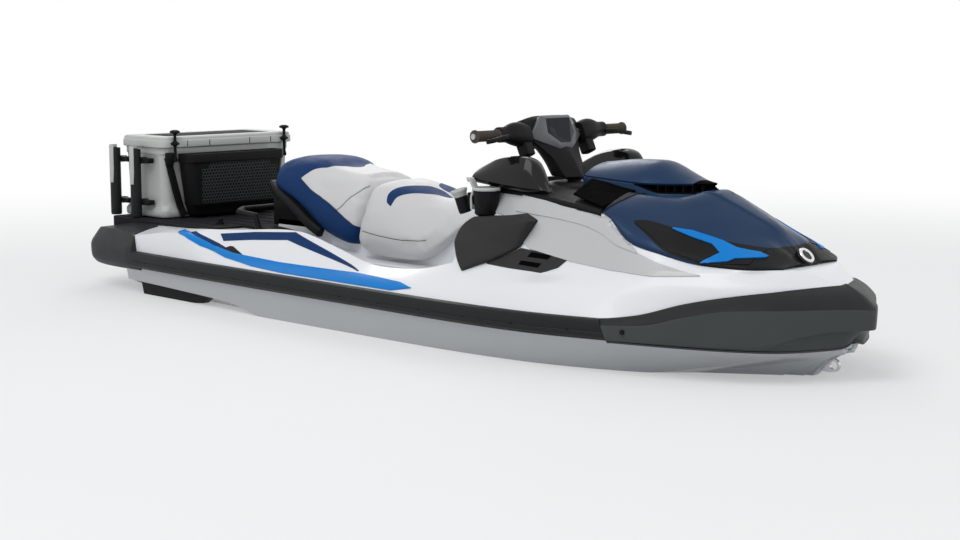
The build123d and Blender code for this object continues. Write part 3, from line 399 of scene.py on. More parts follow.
def box_mesh(low, high, bevel=0.0, segments=2):
    """Box between two corners, with its edges bevelled."""
    bm = bmesh.new()
    bmesh.ops.create_cube(bm, size=1.0)
    size = [b - a for a, b in zip(low, high)]
    middle = [(a + b) / 2 for a, b in zip(low, high)]
    bmesh.ops.scale(bm, vec=size, verts=bm.verts[:])
    bmesh.ops.translate(bm, vec=middle, verts=bm.verts[:])
    if bevel:
        bmesh.ops.bevel(bm, geom=bm.edges[:], offset=bevel, segments=segments, affect="EDGES",
            profile=0.5, clamp_overlap=True)
    return bm


def side_box(side, low, high, *edge):
    """Box given for the port side, there or in its mirror place."""
    near, far = sorted((side * low[1], side * high[1]))
    return box_mesh((low[0], near, low[2]), (high[0], far, high[2]), *edge)


def turned(profile, place, sides=48, closed=False):
    """Turned shape: (radius, height) points about the place's Z axis."""
    columns = []
    for i in range(sides):
        a = 2 * math.pi * i / sides
        columns.append([place @ Vector((r * math.cos(a), r * math.sin(a), h)) for r, h in profile])
    return tidy(skin(columns + columns[:1], closed=closed)[0])


def swept(path, section, up=(0, 0, 1)):
    """Sweeps a closed section of (side, up) points, or a function of 0 to 1, along a path."""
    columns = []
    count = len(path)
    for i, point in enumerate(path):
        ahead = path[min(i + 1, count - 1)] - path[max(i - 1, 0)]
        side = ahead.cross(Vector(up)).normalized()
        rise = side.cross(ahead).normalized()
        shape = section(i / (count - 1)) if callable(section) else section
        columns.append([point + side * a + rise * b for a, b in shape])
    return shell(columns)


def circle(radius, sides):
    """Round section, as (side, up) points."""
    angles = [2 * math.pi * i / sides for i in range(sides)]
    return [(radius * math.cos(a), radius * math.sin(a)) for a in angles]


def rounded_square(angle):
    """Cosine and sine of an angle, and how far out a rounded square lies there."""
    c, s = math.cos(angle), math.sin(angle)
    return c, s, (abs(c) ** 3 + abs(s) ** 3) ** (-1 / 3)


def at(place, turn=(0, 0, 0)):
    """Matrix for a place, turned about X, then Y, then Z, in degrees."""
    matrix = Matrix.Translation(Vector(place))
    for axis, angle in zip("ZYX", reversed(turn)):
        matrix = matrix @ Matrix.Rotation(math.radians(angle), 4, axis)
    return matrix


def bake(obj):
    """Applies every modifier to the mesh."""
    graph = bpy.context.evaluated_depsgraph_get()
    graph.update()
    mesh = bpy.data.meshes.new_from_object(obj.evaluated_get(graph))
    obj.modifiers.clear()
    old = obj.data
    obj.data = mesh
    bpy.data.meshes.remove(old)
    return obj


def new_object(name, data):
    """Object in the scene, at the origin."""
    obj = bpy.data.objects.new(name, data)
    bpy.context.scene.collection.objects.link(obj)
    return obj


def enter(obj, body):
    """Rides a finished piece on its body, and notes it by its name."""
    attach(obj, body)
    PIECES[obj.name] = obj
    return obj


SHARP = 32.0  # degrees past which an edge is drawn sharp
BEVEL_ANGLE = 38.0  # degrees past which an edge gets its bevel


def piece(name, bm, finish, body="craft", replaces=(), levels=0, bevel=0.0, wall=0.0, sharp=SHARP,
        tints=()):
    """Makes one piece from a mesh, rides it on its body and hides the CAD parts it stands for."""
    mesh = bpy.data.meshes.new(name)
    bm.to_mesh(mesh)
    bm.free()
    obj = new_object(name, mesh)
    for slot in (finish, *tints):
        mesh.materials.append(FINISHES[slot])
    if bevel:
        edge = obj.modifiers.new("edge", "BEVEL")
        edge.width = bevel
        edge.segments = 2
        edge.limit_method = "ANGLE"
        edge.angle_limit = math.radians(BEVEL_ANGLE)
    if levels:
        smooth = obj.modifiers.new("smooth", "SUBSURF")
        smooth.levels = smooth.render_levels = levels
    if wall:
        solid = obj.modifiers.new("wall", "SOLIDIFY")
        solid.thickness = wall
        solid.offset = -1.0
        solid.use_even_offset = False
    bake(obj)
    obj.data.shade_smooth()
    obj.data.set_sharp_from_angle(angle=math.radians(sharp))
    enter(obj, body)
    if replaces:
        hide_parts(*replaces)
    return obj


def surface_of(*names):
    """Tree of finished pieces, for laying panels on them."""
    verts, faces = [], []
    for name in names:
        mesh = PIECES[name].data
        start = len(verts)
        verts += [v.co.copy() for v in mesh.vertices]
        faces += [[start + k for k in f.vertices] for f in mesh.polygons]
    return BVHTree.FromPolygons(verts, faces)


CAST_FROM = 1.5  # where a cast starts: out to the side, or above
CAST_MISS = 1.2  # how far in the nearest spot is looked for when a cast misses


def laid(surface, near, far, side, lift, across, along, dome, above):
    """Panel on a surface between two outlines: (x, height) points cast on to it from that side,
    or (x, width) points cast on to it from above."""
    columns = []
    for t in spread(0.0, 1.0, along):
        column = []
        for u in spread(0.0, 1.0, across):
            a, b = near(t), far(t)
            x, w = lerp(a[0], b[0], u), lerp(a[1], b[1], u)
            if above:
                start, aim = Vector((x, side * w, CAST_FROM)), Vector((0, 0, -1))
            else:
                start, aim = Vector((x, side * CAST_FROM, w)), Vector((0, -side, 0))
            spot, normal, _, _ = surface.ray_cast(start, aim)
            if spot is None:
                spot, normal, _, _ = surface.find_nearest(start + aim * CAST_MISS)
            if normal.dot(aim) > 0:
                normal = -normal
            rise = lift + dome * math.sin(math.pi * u)
            column.append(spot + normal * rise)
        columns.append(column)
    return columns


def draped(surface, near, far, lift, across=6, along=50):
    """Panel between two 3-D lines, each place moved to the nearest spot on the surface."""
    columns = []
    for a, b in zip(trail(near, along), trail(far, along)):
        column = []
        for u in spread(0.0, 1.0, across):
            spot, normal, _, _ = surface.find_nearest(a.lerp(b, u))
            column.append(spot + normal * lift)
        columns.append(column)
    return columns


def split_along(obj, share):
    """Cuts a mesh where share(place) changes sign, and paints the positive side."""
    bm = bmesh.new()
    bm.from_mesh(obj.data)
    value = {v: share(v.co) for v in bm.verts}
    cuts = set()
    for edge in bm.edges[:]:
        a, b = edge.verts
        if value[a] * value[b] < 0:
            cuts.add(bmesh.utils.edge_split(edge, a, value[a] / (value[a] - value[b]))[1])
    for face in bm.faces[:]:
        marks = [v for v in face.verts if v in cuts]
        if len(marks) == 2:
            bmesh.utils.face_split(face, *marks)
    for face in bm.faces:
        face.material_index = 1 if share(face.calc_center_median()) > 0 else 0
    bm.to_mesh(obj.data)
    bm.free()
    obj.data.shade_smooth()


def outline_path(points, smooth=False):
    """Function of 0 to 1 along (x, height) points, by length."""
    runs = [0]
    for a, b in zip(points, points[1:]):
        runs.append(runs[-1] + math.dist(a, b))
    total = runs[-1]
    if smooth:
        xs = curve([(s, p[0]) for s, p in zip(runs, points)])
        ys = curve([(s, p[1]) for s, p in zip(runs, points)])
        return lambda t: (xs(t * total), ys(t * total))

    def value(t):
        s = t * total
        k = max(i for i in range(len(points) - 1) if s >= runs[i] - 1e-9)
        u = (s - runs[k]) / (runs[k + 1] - runs[k])
        return (lerp(points[k][0], points[k + 1][0], u), lerp(points[k][1], points[k + 1][1], u))

    return value


def panel_mesh(columns, depth):
    """Closed panel: the laid face, and the same face let into the surface."""
    bm = tidy(skin(columns)[0])
    top = bm.faces[:]
    bm.normal_update()
    sink = {v: v.co - v.normal * depth for v in bm.verts}
    extruded = bmesh.ops.extrude_face_region(bm, geom=top, use_keep_orig=True)
    lower = [v for v in extruded["geom"] if isinstance(v, bmesh.types.BMVert)]
    originals = {tuple(v.co): place for v, place in sink.items()}
    for v in lower:
        v.co = originals[tuple(v.co)]
    bmesh.ops.recalc_face_normals(bm, faces=bm.faces[:])
    return bm


def panel_pair(surface, near, far, lift, across, along, depth, dome=0.0, above=False):
    """The same laid panel on each side of the craft, as one mesh."""
    near, far = [line if callable(line) else outline_path(line) for line in (near, far)]
    return combine(*[panel_mesh(laid(surface, near, far, side, lift, across, along, dome, above),
        depth) for side in (1, -1)])


# ---- repeats, by Geometry Nodes -----------------------------------------------------------------
def new_tree(name, *sizes):
    """Geometry tree with its named sizes; also gives its entry and the sizes' identifiers."""
    tree = bpy.data.node_groups.new(name, "GeometryNodeTree")
    add = tree.interface.new_socket
    add("Geometry", in_out="INPUT", socket_type="NodeSocketGeometry")
    keys = [add(size, in_out="INPUT", socket_type="NodeSocketFloat").identifier for size in sizes]
    add("Geometry", in_out="OUTPUT", socket_type="NodeSocketGeometry")
    return tree, add_node(tree, "NodeGroupInput"), keys


def set_on_points(tree, source, shape, output, finish):
    """Ends a tree: shape on every point of source, made real and given its finish."""
    place = add_node(tree, "GeometryNodeInstanceOnPoints")
    real = add_node(tree, "GeometryNodeRealizeInstances")
    paint = add_node(tree, "GeometryNodeSetMaterial", {"Material": FINISHES[finish]})
    join(tree, (source, "Geometry", place, "Points"), (shape, output, place, "Instance"),
        (place, "Instances", real, "Geometry"), (real, "Geometry", paint, "Geometry"),
        (paint, "Geometry", add_node(tree, "NodeGroupOutput"), "Geometry"))
    return place


def times(tree, source, output, factor):
    """Node that multiplies an output by a factor."""
    node = add_node(tree, "ShaderNodeMath", {1: factor}, operation="MULTIPLY")
    join(tree, (source, output, node, 0))
    return node


def studs_tree(name, finish, sides):
    """Tree that stands a short round stud on every point, along its facing attribute."""
    tree, source, keys = new_tree(name, "Radius", "Height")
    stud = add_node(tree, "GeometryNodeMeshCone", {"Vertices": sides})
    facing = add_node(tree, "GeometryNodeInputNamedAttribute", {"Name": "facing"},
        data_type="FLOAT_VECTOR")
    turn = add_node(tree, "FunctionNodeAlignRotationToVector", axis="Z")
    place = set_on_points(tree, source, stud, "Mesh", finish)
    join(tree, (source, "Radius", stud, "Radius Bottom"), (times(tree, source, "Radius",
        STUD_TAPER), 0, stud, "Radius Top"), (source, "Height", stud, "Depth"),
        (facing, "Attribute", turn, "Vector"), (turn, "Rotation", place, "Rotation"))
    return tree, keys


def repeated(name, mesh, tree, keys, sizes, finish, body="craft"):
    """Piece that a tree makes on a mesh's points, as a plain mesh."""
    obj = new_object(name, mesh)
    repeat = obj.modifiers.new("repeat", "NODES")
    repeat.node_group = tree
    for key, size in zip(keys, sizes):
        repeat[key] = size
    return enter(bake(obj), body)


def studs(name, spots, radius, height, finish, body="craft", sides=10):
    """Small round studs at (place, facing) spots: screws, stitches, ribs and grip bumps."""
    mesh = bpy.data.meshes.new(name)
    mesh.from_pydata([tuple(place) for place, _ in spots], [], [])
    facing = mesh.attributes.new("facing", "FLOAT_VECTOR", "POINT")
    for i, (_, aim) in enumerate(spots):
        facing.data[i].vector = Vector(aim).normalized()
    obj = repeated(name, mesh, *studs_tree(name, finish, sides), (radius, height), finish, body)
    obj.data.set_sharp_from_angle(angle=math.radians(STUD_SHARP))


STUD_TAPER = 0.8
STUD_SHARP = 40.0
PIECES = {}
FINISHES = {}


# ---- lines of the hull and deck: station, then half-width or height -----------------------------
PLAN = curve([(-1.865, 0.505), (-1.8, 0.558), (-1.42, 0.611), (-1, 0.622), (-0.4, 0.6275),
    (0.34, 0.6275), (0.6, 0.622), (0.86, 0.6), (1.1, 0.545), (1.284, 0.478), (1.46, 0.405),
    (1.6, 0.335), (1.69, 0.27), (1.748, 0.19), (1.8, 0.108), (1.85, 0.035)])
KEEL = curve([(-1.49, 0.84), (-1, 0.94), (-0.3, 1), (0.6, 1), (1, 0.94), (1.3, 0.75), (1.5, 0.46),
    (1.64, 0.05), (1.72, -0.22), (1.775, -0.32)])
CHINE_Y = curve([(-1.49, 0.565), (-1, 0.585), (-0.5, 0.575), (0, 0.556), (0.5, 0.53), (0.8, 0.49),
    (1.1, 0.415), (1.35, 0.31), (1.5, 0.22), (1.64, 0.13), (1.775, 0.045)])
CHINE_Z = curve([(-1.49, 0.055), (-1.2, 0.052), (-0.75, 0.036), (-0.5, -0.015), (-0.2, -0.04),
    (0.3, -0.055), (0.8, -0.05), (1.1, -0.02), (1.3, 0.01), (1.5, 0.045), (1.64, 0.072),
    (1.775, 0.104)])
RIM = curve([(1.2, 0.03), (1.46, 0.034), (1.6, 0.042), (1.69, 0.056), (1.745, 0.078), (1.775, 0.1)])
SHOULDER_Y = curve([(-1.84, 0.47), (-1.42, 0.572), (-1.13, 0.574), (-0.88, 0.566), (-0.5, 0.56),
    (0.43, 0.556), (0.6, 0.545), (0.83, 0.515), (1, 0.48), (1.27, 0.415), (1.46, 0.335),
    (1.62, 0.232), (1.7, 0.13), (1.745, 0.052)])
SHOULDER_Z = curve([(-1.84, 0.225), (-1.42, 0.252), (-1.13, 0.287), (-0.88, 0.214), (-0.5, 0.209),
    (0.43, 0.225), (0.83, 0.262), (1, 0.272), (1.27, 0.285), (1.46, 0.298), (1.62, 0.302),
    (1.745, 0.298)])
CREASE_Y = curve([(-1.84, 0.43), (-1.42, 0.5), (-1.13, 0.49), (-0.88, 0.47), (-0.5, 0.468),
    (0.43, 0.472), (0.6, 0.455), (0.83, 0.44), (1, 0.42), (1.27, 0.385), (1.46, 0.305),
    (1.62, 0.175), (1.7, 0.08), (1.745, 0.03)])
CREASE_Z = curve([(-1.84, 0.24), (-1.42, 0.272), (-1.13, 0.297), (-0.88, 0.312), (-0.45, 0.346),
    (-0.2, 0.298), (0.03, 0.248), (0.25, 0.258), (0.43, 0.3), (0.6, 0.318), (0.83, 0.3), (1, 0.315),
    (1.27, 0.34), (1.46, 0.345), (1.62, 0.345), (1.745, 0.302)])
EDGE_Y = curve([(-1.84, 0.262), (0.43, 0.29), (0.6, 0.3), (0.83, 0.312), (1, 0.32), (1.15, 0.35),
    (1.27, 0.34), (1.4, 0.298), (1.56, 0.236), (1.62, 0.15), (1.7, 0.05), (1.745, 0.018)])
EDGE_Z = curve([(0.43, 0.545), (0.6, 0.545), (0.83, 0.52), (1, 0.505), (1.15, 0.415), (1.27, 0.39),
    (1.4, 0.362), (1.56, 0.356), (1.62, 0.356), (1.745, 0.304)])
CORE_Z = curve([(-1.84, 0.245), (-1.42, 0.285), (-1, 0.285), (-0.6, 0.25), (-0.3, 0.215),
    (0.43, 0.215)])
KEEL_DEPTH = 0.32
BOND_Z = 0.115
RAIL_TOP_Z = 0.185
TRANSOM_X = -1.49
STERN_X = -1.84
COWL_X = 0.43
WELL_X = (-0.88, 0.415)
WELL_Y = (0.265, 0.452)
WELL_FLOOR_Z = 0.035
BIN_X = (1.035, 1.43)
BIN_Y = 0.2
BIN_FLOOR_Z = 0.128
SHELL = 0.006


def make_hull():
    """Hull below the bond line: keel, two strakes a side, chine and rim."""
    def column(x):
        chine_y, chine_z = CHINE_Y(x), CHINE_Z(x)
        keel = -KEEL_DEPTH * KEEL(x)
        tuck = min(0.06, chine_y * 0.4)
        step = min(0.012, chine_y * 0.1)
        rim = max(PLAN(x) - RIM(x), chine_y + 0.004)
        points = [(0, keel), (0.022, keel + 0.004)]
        for share in (0.36, 0.68):
            y = (chine_y - tuck) * share
            z = lerp(keel, chine_z - 0.018, share)
            points += [(y, z + 0.003), (y + step, z - step * 0.35)]
        points += [(chine_y - tuck, chine_z - 0.018), (chine_y, chine_z), (lerp(chine_y, rim, 0.45),
            lerp(chine_z, BOND_Z, 0.5)), (rim, BOND_Z)]
        return station(x, points)

    stations = spread(TRANSOM_X, 1.1, 34) + spread(1.15, 1.775, 18)
    rows = {1: 0.6, 2: 0.9, 3: 0.9, 4: 0.9, 5: 0.9, 6: 1.0, 7: 1.0, 9: 1.0}
    bm, grid = skin([column(x) for x in stations], rows, {0: 1.0})
    ring = list(grid[0])
    low = bm.verts.new((TRANSOM_X, 0, BOND_Z))
    cap(bm, [low] + ring[::-1])
    cap(bm, list(grid[-1]) + [bm.verts.new((1.775, 0, BOND_Z))])
    both_sides(bm)
    hull = piece("hull_shell", bm, "hull_grey", replaces=["hull"], levels=2, wall=SHELL)
    cut_tunnel(hull)


def cut_tunnel(hull):
    """Opens the pump bay and the intake, and lines the bay."""
    half, roof = 0.112, -0.056
    bay = box_mesh((-1.62, -half, -0.6), (-1.18, half, roof))
    cutter = new_object("bay", bpy.data.meshes.new("bay"))
    bay.to_mesh(cutter.data)
    cut = hull.modifiers.new("bay", "BOOLEAN")
    cut.object = cutter
    cut.operation = "DIFFERENCE"
    bake(hull)
    bpy.data.objects.remove(cutter)
    hull.data.set_sharp_from_angle(angle=math.radians(SHARP))
    arch = [(-half, -0.3), (-half, roof), (half, roof), (half, -0.3)]
    bm, grid = skin([station(x, arch) for x in (-1.489, -1.18)])
    cap(bm, grid[1])
    piece("pump_bay", tidy(bm), "hull_grey", wall=-0.004)


def deck_column(x, fore):
    """Half-section of the deck, from its rim up and in to the centreline."""
    rim = PLAN(x) - RIM(x)
    crease_y, crease_z = CREASE_Y(x), CREASE_Z(x)
    points = [(rim, BOND_Z), (rim, RAIL_TOP_Z), (lerp(rim, SHOULDER_Y(x), 0.12),
        RAIL_TOP_Z + 0.006), (SHOULDER_Y(x), SHOULDER_Z(x)), (crease_y, crease_z)]
    if fore:
        edge_y, edge_z = EDGE_Y(x), EDGE_Z(x)
        inner = min(BIN_Y, edge_y * 0.6)
        low = BIN_FLOOR_Z if BIN_X[0] < x < BIN_X[1] else edge_z
        points += [(lerp(crease_y, edge_y, 0.5), lerp(crease_z, edge_z, 0.5)), (edge_y, edge_z),
            (edge_y - 0.012, edge_z + 0.0005), (inner, edge_z), (inner - 0.002, low), (0, low)]
    else:
        core = CORE_Z(x)
        lip = min(WELL_Y[1], crease_y - 0.012)
        slope = core + (crease_z - core) * (lip - EDGE_Y(x)) / (crease_y - EDGE_Y(x)) * 0.4
        floor = WELL_FLOOR_Z if WELL_X[0] < x < WELL_X[1] else None
        points += [(lip + 0.003, slope), (lip, floor or slope), (WELL_Y[0], floor or core),
            (WELL_Y[0] - 0.003, core), (WELL_Y[0] - 0.04, core + 0.001), (0, core + 0.001)]
    return station(x, points)


def make_deck():
    """Deck with footwells and storage well, seat pedestal, eye bosses and dash."""
    edge = 0.002
    aft = (spread(STERN_X, WELL_X[0] - edge, 16) + [WELL_X[0] + edge] + spread(-0.8, 0.34, 16)
        + [WELL_X[1] - edge, WELL_X[1] + edge, COWL_X])
    fore = ([COWL_X] + spread(0.46, BIN_X[0] - edge, 12) + [BIN_X[0] + edge]
        + spread(1.07, BIN_X[1] - edge, 10) + [BIN_X[1] + edge] + spread(1.47, 1.745, 10))
    columns = [deck_column(x, False) for x in aft] + [deck_column(x, True) for x in fore]
    ends = {0: 1.0, len(aft) - 1: 1.0, len(aft): 1.0, len(columns) - 1: 1.0}
    for i, x in enumerate(aft + fore):
        for wall in WELL_X + BIN_X:
            if abs(x - wall) < 2 * edge:
                ends[i] = 1.0
    rows = {0: 1.0, 1: 1.0, 3: 0.82, 4: 0.9, 5: 0.9, 6: 0.95, 7: 0.9, 8: 0.9, 9: 0.8}
    bm, grid = skin(columns, rows, ends)
    for column, order in ((grid[0], -1), (grid[-1], 1)):
        foot = bm.verts.new((column[0].co.x, 0, BOND_Z))
        cap(bm, ([foot] + column)[::order])
    under = [[Vector((x, 0, BOND_Z)), Vector((x, PLAN(x) - RIM(x), BOND_Z))] for x in aft
        if x < TRANSOM_X + 0.06]
    floor, _ = skin(under, {0: 1.0, 1: 1.0})
    bm = both_sides(combine(bm, floor))
    fittings = [box_mesh((-0.96, -0.165, 0.19), (0.32, 0.165, 0.34), 0.012)]
    for side in (1, -1):
        fittings.append(side_box(side, (-1.848, 0.208, 0.068), (-1.808, 0.222, 0.125), 0.006))
    piece("deck_moulding", bm, "deck_white", replaces=["deck"], levels=2, sharp=28)
    piece("seat_pedestal", combine(*fittings), "deck_white")
    low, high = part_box("glove_box_lid")
    dash = pocket_box((low.x + 0.002, -0.2, 0.2), (COWL_X + 0.04, 0.2, low.z - 0.0006),
        (low.x + 0.01, low.y + 0.01), (high.x - 0.002, high.y - 0.01), 0.42)
    piece("dash_pod", dash, "deck_white", bevel=0.004)


def pocket_box(low, high, mouth_low, mouth_high, floor):
    """Closed block with a pocket sunk into its top."""
    rings = []
    for corners, z in (((low, high), low[2]), ((low, high), high[2]), ((mouth_low, mouth_high),
            high[2]), ((mouth_low, mouth_high), floor)):
        a, b = corners
        rings.append([Vector((a[0], a[1], z)), Vector((b[0], a[1], z)), Vector((b[0], b[1], z)),
            Vector((a[0], b[1], z))])
    bm, grid = skin(rings, closed=True)
    cap(bm, grid[0])
    cap(bm, grid[-1])
    return tidy(bm)


# ---- rub rails and bumpers ----------------------------------------------------------------------
FRONT_SPLIT_X = (1.190, 1.160)  # foot and top of the slanted joint
BOW_TIP_X = 1.865
REAR_JOINT_X = -1.432
BUMPER_TOP_SLOPE = 0.42  # faces that point up less than this get a lighter grey, a painted reflection of the pale floor
RAIL_RAKE = 0.42  # lean of the rub rail's front end against the bumper
NOSE_Y = 0.13  # nearer the centreline than this, mouldings turn to face the bow or the stern


def rim_path(points, count):
    """Places along the craft's plan with their outward directions, port side."""
    places = trail([(x, y, 0) for x, y in points], count)
    result = []
    for i, place in enumerate(places):
        ahead = places[min(i + 1, count - 1)] - places[max(i - 1, 0)]
        result.append((place, Vector((-ahead.y, ahead.x, 0)).normalized()))
    return result


def to_centre(points, count):
    """Port half of a path that crosses the centreline square, ending on it."""
    ahead = [(x, -y) for x, y in points[-2::-1][:3]]
    whole = rim_path(points + ahead, count)
    half = [(p, out) for p, out in whole if p.y > 1e-3]
    tip = Vector((points[-1][0], 0, 0))
    return half + [(tip, Vector((math.copysign(1, tip.x), 0, 0)))]


def along_rim(path, section):
    """Columns for a moulding: section(t) lists (outward, height) points."""
    columns = []
    for i, (place, outward) in enumerate(path):
        if place.y < NOSE_Y:
            turn = min(abs(outward.y), place.y / NOSE_Y)
            outward = Vector((math.copysign(math.sqrt(1 - turn * turn), place.x), turn, 0))
        flip = 1 if outward.dot(Vector((place.x * 0.3, place.y, 0))) > 0 else -1
        columns.append([place + outward * flip * d + Vector((0, 0, z)) for d, z in section(i
            / (len(path) - 1))])
    return columns


def make_rub_rails():
    """Grooved rub rail along each side."""
    section = [(-0.04, 0.118), (-0.018, 0.1155), (-0.006, 0.128), (-0.004, 0.141), (-0.0065, 0.144),
        (-0.0045, 0.147), (0, 0.172), (-0.0035, 0.183), (-0.012, 0.1865), (-0.04, 0.1865)]
    places = [(x, PLAN(x)) for x in [REAR_JOINT_X + 0.004, -1.2, -0.9, -0.4, 0, 0.34, 0.6,
        0.86, 1, 1.1, FRONT_SPLIT_X[1]]]
    path = rim_path(places, 60)
    columns = along_rim(path, lambda t: section)
    last = columns[-1]
    for k, (_, z) in enumerate(section):
        lean = RAIL_RAKE * (RAIL_TOP_Z - z)
        last[k] = last[k] + Vector((lean, -0.25 * lean, 0))
    rows = {k: 0.75 for k in range(len(section))}
    rail = capped(*skin(columns, rows, {0: 1.0, len(columns) - 1: 1.0}, closed=True))
    piece("rub_rail_mouldings", both_sides(rail), "rail_charcoal", replaces=["rub_rails"], levels=1)


def make_front_bumper():
    """Bumper round the bow: lip, crease and a set-back lower face."""
    places = [(1.172, 0.521), (1.219, 0.502), (1.35, 0.452), (1.46, 0.405), (1.6, 0.335),
        (1.69, 0.27), (1.748, 0.19), (1.8, 0.108), (1.848, 0.04), (BOW_TIP_X, 0)]
    foot = curve([(0, 0.108), (0.5, 0.104), (0.85, 0.106), (1, 0.126)])
    lip = curve([(0, 0.12), (0.55, 0.124), (0.72, 0.158), (0.86, 0.172), (1, 0.172)])
    crease = curve([(0, 0.168), (0.15, 0.176), (0.3, 0.211), (0.47, 0.24), (0.62, 0.2455),
        (0.9, 0.242), (1, 0.236)])
    top = curve([(0, 0.187), (0.12, 0.204), (0.3, 0.25), (0.47, 0.279), (0.62, 0.295), (0.8, 0.305),
        (0.93, 0.309), (1, 0.312)])
    top_inset = curve([(0, 0.022), (0.2, 0.034), (0.5, 0.055), (0.8, 0.075), (1, 0.112)])
    recess = curve([(0, 0), (0.5, 0.001), (0.7, 0.008), (0.85, 0.014), (1, 0.03)])
    foot_inset = curve([(0, 0.014), (0.4, 0.018), (0.75, 0.022), (0.88, 0.036), (1, 0.082)])

    def section(t):
        z0, z1, z2, z3 = foot(t), lip(t), crease(t), top(t)
        inset, set_back, tuck = top_inset(t), recess(t), foot_inset(t)
        return [(-tuck - 0.035, z0 + 0.016), (-tuck, z0), (-tuck + 0.004, z0 + 0.007),
            (-tuck + 0.001, z0 + 0.0085), (-lerp(tuck, set_back, 0.7) - 0.002,
            lerp(z0 + 0.0085, z1, 0.7)), (-set_back - 0.003, z1 - 0.003), (-0.002, z1), (0,
            lerp(z1, z2, 0.5)), (0.001, z2), (-inset * 0.42, lerp(z2, z3, 0.62)), (-inset, z3),
            (-inset - 0.01, z3 - 0.004), (-inset - 0.014, z3 - 0.03)]

    path = to_centre(places, 62)
    columns = along_rim(path, section)
    for k, point in enumerate(columns[0]):
        rise = (point.z - BOND_Z) / (RAIL_TOP_Z - BOND_Z)
        columns[0][k] = point + Vector((lerp(FRONT_SPLIT_X[0], FRONT_SPLIT_X[1], rise) - 1.172, 0,
            0))
    for point in columns[-1]:
        point.y = 0.0
    rows = {1: 0.9, 2: 0.9, 3: 0.9, 5: 0.95, 6: 0.95, 8: 0.9, 10: 0.95}
    bm, grid = skin(columns, rows, {0: 1.0})
    cap(bm, grid[0])
    both_sides(bm)
    bumper = piece("bow_bumper", bm, "rail_charcoal", replaces=["front_bumper"], levels=2,
        tints=["bumper_side"])
    # One charcoal moulding: its side faces get a lighter grey as a painted reflection of the pale
    # floor.
    for face in bumper.data.polygons:
        if face.normal.z < BUMPER_TOP_SLOPE:
            face.material_index = 1
    spots = [((1.238, side * 0.4955, 0.15), (0.25, side, 0)) for side in (1, -1)]
    studs("bumper_screws", spots, 0.0085, 0.006, "black_plastic", sides=24)


def make_rear_bumper():
    """Bumper round the stern, with a shelf behind its top edge."""
    places = [(REAR_JOINT_X, 0.6095), (-1.6, 0.588), (-1.74, 0.567), (-1.8, 0.552), (-1.838, 0.522),
        (-1.858, 0.47), (-1.864, 0.36), (-1.865, 0.18), (-1.865, 0)]
    lip = curve([(0, 0.24), (0.25, 0.244), (0.5, 0.236), (1, 0.236)])
    shelf = curve([(0, 0.276), (0.25, 0.266), (0.5, 0.252), (1, 0.2505)])
    inner = curve([(0, 0.2885), (0.25, 0.278), (0.5, 0.256), (1, 0.2515)])
    foot = curve([(0, 0.1), (0.3, 0.093), (0.55, 0.095), (1, 0.095)])

    def section(t):
        z0, z3 = foot(t), lip(t)
        return [(-0.075, z0 + 0.03), (-0.04, z0), (-0.022, z0 + 0.006), (-0.005, z0 + 0.03),
            (0, z0 + 0.052), (0, 0.183), (-0.006, 0.2), (-0.024, z3 - 0.012), (-0.044, z3 + 0.016),
            (-0.105, shelf(t)), (-0.15, inner(t)), (-0.152, inner(t) - 0.012)]

    columns = along_rim(to_centre(places, 100), section)
    for k, point in enumerate(columns[0]):
        columns[0][k] = point + Vector((0.45 * max(0.0, 0.25 - point.z), 0, 0))
    for point in columns[-1]:
        point.y = 0.0
    bm, grid = skin(columns, {1: 0.8, 3: 0.7, 5: 0.9, 6: 0.8, 8: 0.9, 10: 0.9}, {0: 1.0})
    cap(bm, grid[0])
    both_sides(bm)
    piece("stern_bumper", bm, "rail_charcoal", replaces=["rear_bumper"], levels=2)


# ---- front hood, its cowl and trims -------------------------------------------------------------
HOOD_X = (1.002, 1.618)
HOOD_GAP = 0.003
HOOD_TOP_Z = curve([(1, 0.56), (1.16, 0.564), (1.235, 0.582), (1.319, 0.553), (1.411, 0.512),
    (1.484, 0.479), (1.529, 0.434), (1.565, 0.402), (1.59, 0.38), (1.618, 0.366)])
RIDGE_Y = curve([(1, 0.195), (1.109, 0.18), (1.267, 0.155), (1.435, 0.12), (1.54, 0.09),
    (1.618, 0.055)])
RIDGE_Z = curve([(1, 0.566), (1.109, 0.559), (1.267, 0.524), (1.435, 0.462), (1.54, 0.419),
    (1.618, 0.366)])
SPINE_Y = curve([(1, 0.105), (1.2, 0.062), (1.27, 0.045), (1.38, 0.03), (1.47, 0.022),
    (1.618, 0.016)])
SCOOP_TOP_Z = curve([(0.752, 0.652), (0.9, 0.669), (1, 0.671), (1.1, 0.636), (1.165, 0.611),
    (1.225, 0.6)])
SCOOP_Y = curve([(0.752, 0.135), (0.95, 0.145), (1.03, 0.13), (1.12, 0.09), (1.225, 0.014)])
SCOOP_EDGE_Z = curve([(0.752, 0.606), (0.95, 0.598), (1.03, 0.595), (1.225, 0.598)])


def hood_column(x):
    """Half-section of the hood: edge, shoulder, ridge and spine."""
    edge_y, edge_z = EDGE_Y(x), EDGE_Z(x) + HOOD_GAP
    ridge_y, ridge_z, top = RIDGE_Y(x), RIDGE_Z(x), HOOD_TOP_Z(x)
    mid_y = edge_y * 0.58 + ridge_y * 0.42 + 0.012
    mid_z = max(lerp(edge_z, ridge_z, 0.55), edge_z + 0.006)
    spine_y = min(SPINE_Y(x), ridge_y * 0.6)
    saddle = lerp(ridge_z, top, 0.62) - 0.006 * min(1.0, max(0.0, (x - 1.2) / 0.1))
    points = [(edge_y, edge_z), (edge_y + 0.002, lerp(edge_z, mid_z, 0.2)), (mid_y, mid_z),
        (ridge_y, max(ridge_z, mid_z + 0.003)), (lerp(ridge_y, spine_y, 0.5), saddle),
        (spine_y + 0.01, lerp(saddle, top, 0.6)), (spine_y, top - 0.003), (0, top)]
    return station(x, points)


